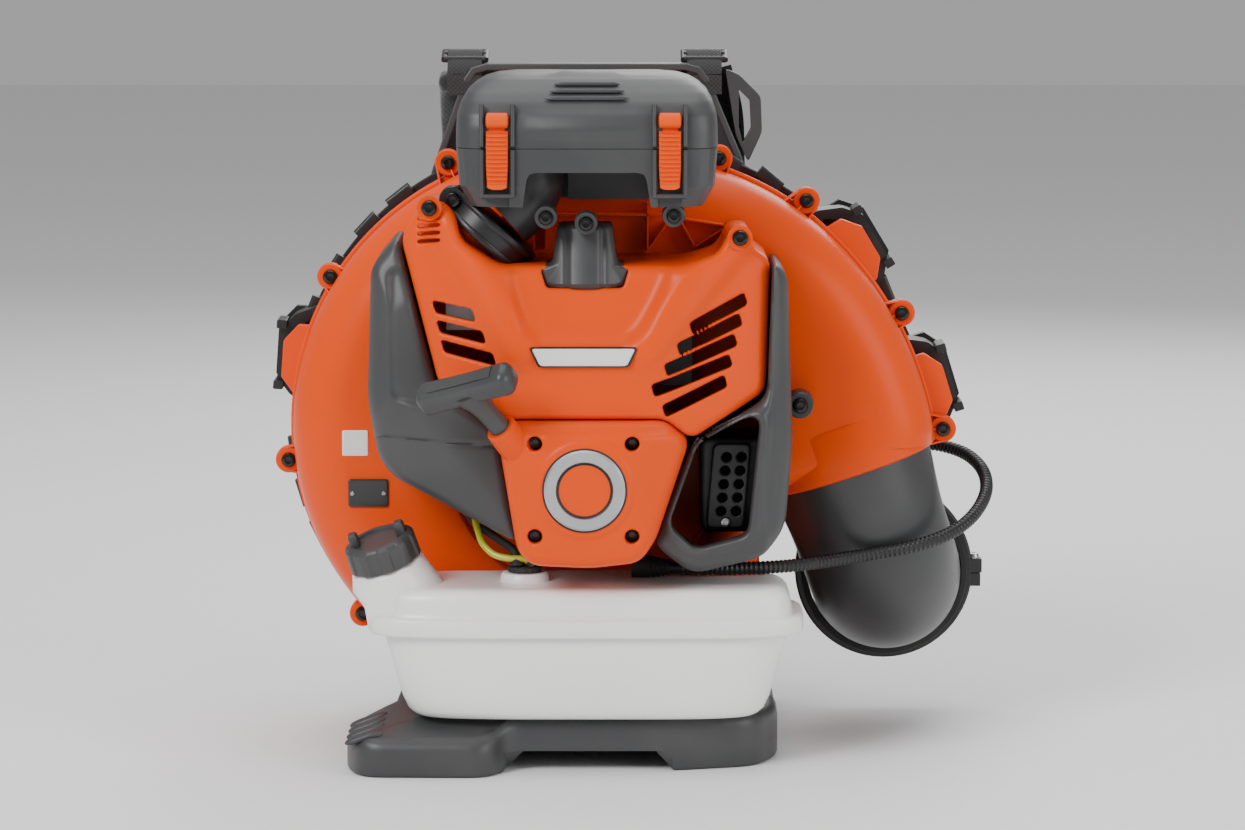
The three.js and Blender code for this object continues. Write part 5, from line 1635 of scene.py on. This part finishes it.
@dataclass
class Foot:
    """The base: a plate under the tank on two feet, sloping down at the left to a ridged toe."""

    plan: tuple = ((-165, 34), (-153, 4), (-66, 2), (-54, 28), (60, 28), (118, 44), (134, 80), (134, 240),
                   (114, 261.9), (-114, 261.9), (-134, 240), (-137, 120), (-163, 98))
    top: float = 36.0
    rear: float = 25.0
    arch: float = 14.0
    middle: tuple = (-15.0, 74.0)
    ridges: tuple = (16.0, 37.0, 58.0, 79.0)

    def crest(self, x: np.ndarray, y: np.ndarray) -> np.ndarray:
        """The top's height: level under the tank, lower towards the front and the left of the toe.

        Args:
            x: The points' X.
            y: The points' Y.

        Returns:
            The heights.
        """
        front = np.interp(y, (2.0, 44.0), (24.0, self.top))
        front = front + (self.top - front) * np.interp(x, (-62.0, -52.0), (0.0, 1.0))
        return np.minimum(front, np.interp(x, (-165.0, -140.0, -112.0), (21.5, 30.5, self.top)))

    @staticmethod
    def drawn_in(plan: np.ndarray, inset: float) -> np.ndarray:
        """An outline moved inwards: each point goes against the mean normal of its two edges.

        Args:
            plan: The outline in X and Y.
            inset: How far it is moved.

        Returns:
            The new outline.
        """
        along = np.roll(plan, -1, axis=0) - np.roll(plan, 1, axis=0)
        along /= np.maximum(np.linalg.norm(along, axis=1), 1e-9)[:, None]
        normal = np.stack([-along[:, 1], along[:, 0]], axis=1)
        return plan + normal * inset

    def upper(self, plan: np.ndarray) -> Surface:
        """The front plate: a wall, a rounded edge, and rings closing in over the sloping top.

        Args:
            plan: Its outline in X and Y.

        Returns:
            The surface.
        """
        rows = [(0.0, None), (0.0, 8.0), (0.5, 5.0), (1.6, 2.8), (3.4, 1.2), (5.6, 0.3), (8.0, 0.0)]
        rings = []
        for inset, drop in rows:
            flat = self.drawn_in(plan, inset)
            flat[:, 1] = np.minimum(flat[:, 1], 121.2)
            height = np.full(len(flat), self.arch - 0.2) if drop is None else self.crest(flat[:, 0],
                    flat[:, 1]) - drop
            rings.append(np.column_stack([flat, height]))
        for share in (0.96, 0.91, 0.86, 0.8, 0.74, 0.66, 0.5):
            near = (flat - self.middle) * share + self.middle
            rings.append(np.column_stack([near, self.crest(near[:, 0], near[:, 1])]))
        return loft(np.array(rings))

    def lower(self, plan: np.ndarray, start: float, end: float) -> Surface:
        """One foot, cut off by a slope under the arch that runs from a start on the ground to an end.

        Args:
            plan: The outline of the whole base.
            start: The X where the slope starts, on the ground.
            end: The X where it ends, at the arch's top.

        Returns:
            The surface.
        """
        rings = []
        for height, inset in ((0.0, 2.2), (0.7, 0.9), (2.4, 0.1), (self.arch, 0.0)):
            flat = self.drawn_in(plan, inset)
            limit = start + (end - start) * height / self.arch
            beyond = flat[:, 0] > limit if start < 0 else flat[:, 0] < limit
            flat[beyond] = np.column_stack([np.full(beyond.sum(), limit), np.maximum(flat[beyond, 1], 29.5)])
            rings.append(np.column_stack([flat, np.full(len(flat), height)]))
        return loft(np.array(rings))

    def build(self) -> None:
        """Build the base."""
        plan = rounded(self.plan, 16, 12)
        rear = []
        for height, inset in ((self.arch - 0.2, 0.0), (self.rear - 2, 0.0), (self.rear - 0.6, 0.5),
                              (self.rear, 1.8)):
            flat = self.drawn_in(plan, inset)
            ahead = flat[:, 1] < 112.0
            flat[ahead] = np.column_stack([np.clip(flat[ahead, 0], -146.0, 134.0),
                                           np.full(ahead.sum(), 112.0)])
            rear.append(np.column_stack([flat, np.full(len(flat), height)]))
        body = self.upper(plan).plus(loft(np.array(rear)), self.lower(plan, -57.0, -42.0),
                                     self.lower(plan, 61.0, 48.0))
        piece("foot_body", body, Look.GREY, stands_for=["base_foot"], sharp=48)
        across = np.linspace(-164.5, -138.0, 30)
        ends = np.sqrt(np.clip(1 - np.abs(np.linspace(-1, 1, 30)) ** 4, 0.02, 1))
        bars = []
        for depth in self.ridges:
            height = self.crest(across, np.full(30, depth)) - 0.4
            line = np.column_stack([across, np.full(30, depth), height])
            bars.append(sweep(line, soft_box(5.2, 2.6, 2.2, 28), ends, up=(0.4, 0, 1)))
        piece("foot_tread", bars[0].plus(*bars[1:]), Look.GREY)


@dataclass
class Engine:
    """What shows of the engine through the openings."""

    plate: tuple = ((83, 164), (109, 164), (114, 223), (88, 223))

    def build(self) -> None:
        """Build the engine's parts."""
        cad("muffler", Look.BLACK_PAINT, 1.6)
        edge = rounded(self.plate, 5)
        holes = []
        for row in range(5):
            for column in range(2):
                holes.append(circle(3.4, 24) + (93.5 + row * 0.9 + column * 10.4, 176 + row * 9.4))
        sheet = facing_shell(edge, level(56.4), 58.5, holes, 1.2, 0.6, 0.8, 3.0)
        piece("muffler_screen", sheet, Look.BLACK_PAINT, sharp=50)
        # Near-black discs sunk in the screen's holes: painted shade where the dark inside of each hole would
        # show.
        cups = [revolve([(0, 0), (3.35, 0), (3.35, 1.0), (0, 1.0)],
                        (spot[:, 0].mean(), 57.2, spot[:, 1].mean()),
                        (0, 1, 0), 24) for spot in holes]
        piece("screen_hole_shade", cups[0].plus(*cups[1:]), Look.HOLE_SHADE)
        piece("muffler_screw", screw_heads([(96.5, 56.4, 168.6)], (0, -1, 0), 3.6, 3.0), Look.STEEL)
        kept = {"crankcase": Look.ALUMINIUM, "cylinder": Look.ALUMINIUM, "crankshaft": Look.STEEL,
                "impeller": Look.BLACK, "flywheel": Look.ALUMINIUM, "recoil_pulley": Look.BLACK,
                "recoil_spring": Look.STEEL, "crank_bearing_front": Look.STEEL,
                "crank_bearing_rear": Look.STEEL,
                "piston": Look.ALUMINIUM, "spark_plug": Look.STEEL, "ignition_coil": Look.BLACK,
                "carburettor": Look.ALUMINIUM}
        for node, look in kept.items():
            cad(node, look, 0.6)


@dataclass
class ControlCable:
    """The ribbed conduit from the engine cover round the outlet to the back frame."""

    radius: float = 4.75
    pitch: float = 3.4
    route: tuple = (
        (52, 78, 133.7), (68, 78, 133.1), (90, 79, 132.6), (112, 82, 132.4), (134, 89, 132.4),
        (154, 100, 132.6),
        (172, 113, 133.2), (190, 123, 134.5), (208, 128.2, 136.6), (226, 131, 139.6), (244, 137, 143.4),
        (260, 148, 148.6), (273, 163, 155.6), (282, 180, 163.6), (287, 198, 172), (287, 216, 180),
        (282, 234, 187),
        (273, 249, 192), (260, 260, 195), (244, 266, 196.4), (226, 268.6, 197), (208, 269.4, 197),
        (190, 269.8, 197),
        (172, 270, 197), (158, 270, 197), (147, 270, 197))

    def build(self) -> None:
        """Build the conduit and the tapered reliefs at both of its ends."""
        rough = smooth_path(self.route, 400)
        length = float(np.linalg.norm(np.diff(rough, axis=0), axis=1).sum())
        stations = int(length / self.pitch) * 6
        path = smooth_path(self.route, stations)
        travelled = np.linspace(0, length, stations)
        waves = np.clip(1.5 * np.sin(travelled * 2 * np.pi / self.pitch), -1, 1)
        plain = np.clip((travelled - 12) / 2, 0, 1) * np.clip((length - 14 - travelled) / 2, 0, 1)
        size = self.radius * (0.93 + 0.065 * waves * plain)
        conduit = piece("control_conduit", sweep(path, circle(1.0, 20), size, up=(0, 0.05, 1)), Look.CONDUIT,
                        stands_for=["throttle_cable"])
        places = [tuple(float(v) for v in point) for point in to_frame(smooth_path(self.route, 60))]
        relief = [(5.0, 16), (5.6, 15.6), (5.4, 12.8), (6.2, 12.4), (6.0, 9.6), (6.9, 9.2), (6.7, 6.4),
                  (7.6, 6.0),
                  (7.4, 3.2), (8.4, 2.6), (8.4, -10), (0, -10)]
        gland = revolve(list(reversed(relief)) + [(0, 16)], (42, 78, 134.1), (1, 0, -0.03), 40)
        piece("gland_relief", gland, Look.RUBBER, stands_for=["cable_gland"])
        socket = revolve(list(reversed(relief)) + [(0, 16)], (140, 270, 197), (1, 0, 0), 40)
        piece("socket_relief", socket, Look.RUBBER, stands_for=["cable_socket"])
        log.info("control_conduit: %.1f mm long", length)


@dataclass
class Carrier:
    """The back frame, its rubber mounts, the pads, straps, buckles and loop."""

    straps: tuple = ((-82, "left"), (80, "right"))

    def webbing(self, name: str, route: Points, half: float = 12.5,
                up: Sequence[float] = (0, 1, 0)) -> bpy.types.Object:
        """A strip of webbing along a route, flat side towards a direction.

        Args:
            name: The piece's name.
            route: The points that it passes.
            half: Half its width.
            up: The direction that its thickness leans towards.

        Returns:
            The strip.
        """
        path = smooth_path(route, 120)
        section = soft_box(half, 0.8, 3.2, 40)
        strip = piece(name, sweep(path, section, up=up), Look.WEBBING)
        length = float(np.linalg.norm(np.diff(path, axis=0), axis=1).sum()) / 1000
        log.info("%s: %.3f m of webbing", name, length)
        return strip

    def buckle(self, side: str, x: float) -> None:
        """A ladder-lock: two side bars and three cross bars.

        Args:
            side: Left or right, as in its name.
            x: Its middle.
        """
        bars = []
        for offset in (-14.6, 14.6):
            line = np.stack([np.full(16, x + offset), np.linspace(273, 293, 16),
                             np.linspace(476.2, 481.2, 16)], axis=1)
            bars.append(sweep(line, soft_box(2.0, 2.6, 3, 20), up=(1, 0, 0)))
        for depth, height, thick in ((274, 476.6, 2.4), (283.5, 480.2, 1.9), (292, 481.0, 2.4)):
            line = np.stack([np.linspace(x - 15, x + 15, 20), np.full(20, float(depth)),
                             np.full(20, height)], axis=1)
            bars.append(sweep(line, soft_box(thick, thick, 2.6, 20)))
        piece(f"buckle_{side}", bars[0].plus(*bars[1:]), Look.BLACK, stands_for=[f"top_buckle_{side}"])

    def build(self) -> None:
        """Build the carrier."""
        cad("back_frame", Look.GREY, 1.6)
        for number in range(1, 5):
            cad(f"vibration_mount_{number}", Look.RUBBER, 1.2)
        cad("side_grip", Look.GREY, 1.4)
        for name, node, fill in (("back_cushion", "back_pad", 0.6), ("lumbar_cushion", "lumbar_pad", 0.7),
                                 ("hip_cushion_left", "hip_pad_left", 0.6),
                                 ("hip_cushion_right", "hip_pad_right", 0.6),
                                 ("shoulder_cushion_left", "shoulder_strap_left", 0.5),
                                 ("shoulder_cushion_right", "shoulder_strap_right", 0.5)):
            cushion(name, node)
        for x, side in self.straps:
            self.buckle(side, x - 7 if side == "left" else x + 5)
            top = x - 7 if side == "left" else x + 5
            self.webbing(f"top_webbing_{side}", [(top, 262, 452), (top, 266, 470), (top, 276, 478.6),
                    (top, 286, 482.6),
                                                 (top, 296, 478), (x, 306, 466), (x, 318, 458)],
                                                 up=(0, 0.3, 1))
            sign = -1 if side == "left" else 1
            self.webbing(f"lower_webbing_{side}", [(sign * 84, 289, 66), (sign * 90, 294, 92), (x, 305, 130),
                                                   (x, 318, 160), (x, 326, 178)], 10.5, up=(0, 1, 0.1))
        self.webbing("loop_webbing", [(96, 283, 470), (104, 287, 440), (106, 287, 400), (108, 287, 340)], 9,
                     up=(0, 1, 0))


@dataclass
class Plates:
    """The blank data plate with its rivets, and the blank label."""

    def build(self) -> None:
        """Build the plates."""
        edge = rounded([(-167, 170), (-139, 170), (-139, 189.5), (-167, 189.5)], 1.6)
        plate = facing_shell(edge, level(119.8), 121.6, roll=0.6, step=0.8)
        piece("blank_plate", plate, Look.PLATE, stands_for=["rating_plate"], sharp=50)
        piece("plate_rivets", screw_heads([(-164, 119.9, 179.5), (-142, 119.9, 179.5)], (0, -1, 0), 1.6,
                                          0.9), Look.STEEL)
        label = rounded([(-171, 206), (-153, 206), (-153, 224), (-171, 224)], 1.2)
        piece("blank_label", facing_shell(label, level(121.0), 122.0, roll=0.3, step=0.8),
              Look.LABEL,
              sharp=50)


# ---- Studio -----------------------------------------------------------------------------------
@dataclass
class Studio:
    """The camera, the lights and the floor."""

    target: tuple = (-0.006, -0.0346, 0.235)
    distance: float = 3.27
    elevation: float = 7.0
    lens: float = 135.0

    def camera(self) -> None:
        """Put the camera in front, a little above."""
        data = bpy.data.cameras.new("camera")
        data.lens = self.lens
        data.sensor_width = 36.0
        shot = bpy.data.objects.new("camera", data)
        bpy.context.scene.collection.objects.link(shot)
        lift = math.radians(self.elevation)
        away = Vector((0, -math.cos(lift), math.sin(lift)))
        shot.location = Vector(self.target) + away * self.distance
        shot.rotation_euler = away.to_track_quat("Z", "Y").to_euler()
        bpy.context.scene.camera = shot

    def light(self, name: str, place: Sequence[float], size: float, power: float) -> None:
        """Add a soft square light that faces the machine.

        Args:
            name: The light's name.
            place: Its place in metres.
            size: The length of its side in metres.
            power: Its power in watts.
        """
        data = bpy.data.lights.new(name, "AREA")
        data.shape = "SQUARE"
        data.size = size
        data.energy = power
        lamp = bpy.data.objects.new(name, data)
        lamp.location = place
        lamp.rotation_euler = (Vector(place) - Vector(self.target)).to_track_quat("Z", "Y").to_euler()
        bpy.context.scene.collection.objects.link(lamp)

    def build(self) -> None:
        """Build the studio."""
        self.light("key", (-1.7, -2.3, 2.2), 1.3, 92)
        self.light("fill", (2.4, -1.6, 1.1), 1.6, 34)
        self.light("top", (0.0, 0.3, 2.6), 2.2, 40)
        self.light("rim", (0.6, 2.2, 1.6), 1.6, 26)
        floor_mesh = bpy.data.meshes.new("floor")
        corners = [(-9, -9, 0), (9, -9, 0), (9, 9, 0), (-9, 9, 0)]
        floor_mesh.from_pydata([(x, y, -FLOOR_DROP) for x, y, _ in corners], [], [(0, 1, 2, 3)])
        floor = bpy.data.objects.new("floor", floor_mesh)
        bpy.context.scene.collection.objects.link(floor)
        lab = Lab("studio_floor")
        speck = lab.noise(lab.where(), 60.0, 3.0)
        lab.feed(Base_Color=lab.mix(rgba((0.84, 0.84, 0.84)), rgba((0.88, 0.88, 0.88)), speck),
                 Roughness=0.75)
        floor_mesh.materials.append(lab.material)
        world = bpy.data.worlds.new("studio")
        world.use_nodes = True
        world.node_tree.nodes["Background"].inputs["Color"].default_value = (1.0, 1.0, 1.0, 1.0)
        world.node_tree.nodes["Background"].inputs["Strength"].default_value = 0.40
        bpy.context.scene.world = world


def main() -> None:
    """Build the machine, piece by piece."""
    logging.basicConfig(level=logging.INFO, format="%(message)s")
    studio = Studio()
    studio.camera()
    for part in (ControlCable(), FanHousing(), Covers(), StarterGrip(), AirFilter(), FuelTank(), AirOutlet(),
                 Foot(),
                 Engine(), Carrier(), Plates()):
        log.info("-- %s", type(part).__name__)
        part.build()
    studio.build()


if __name__ == "__main__":
    main()
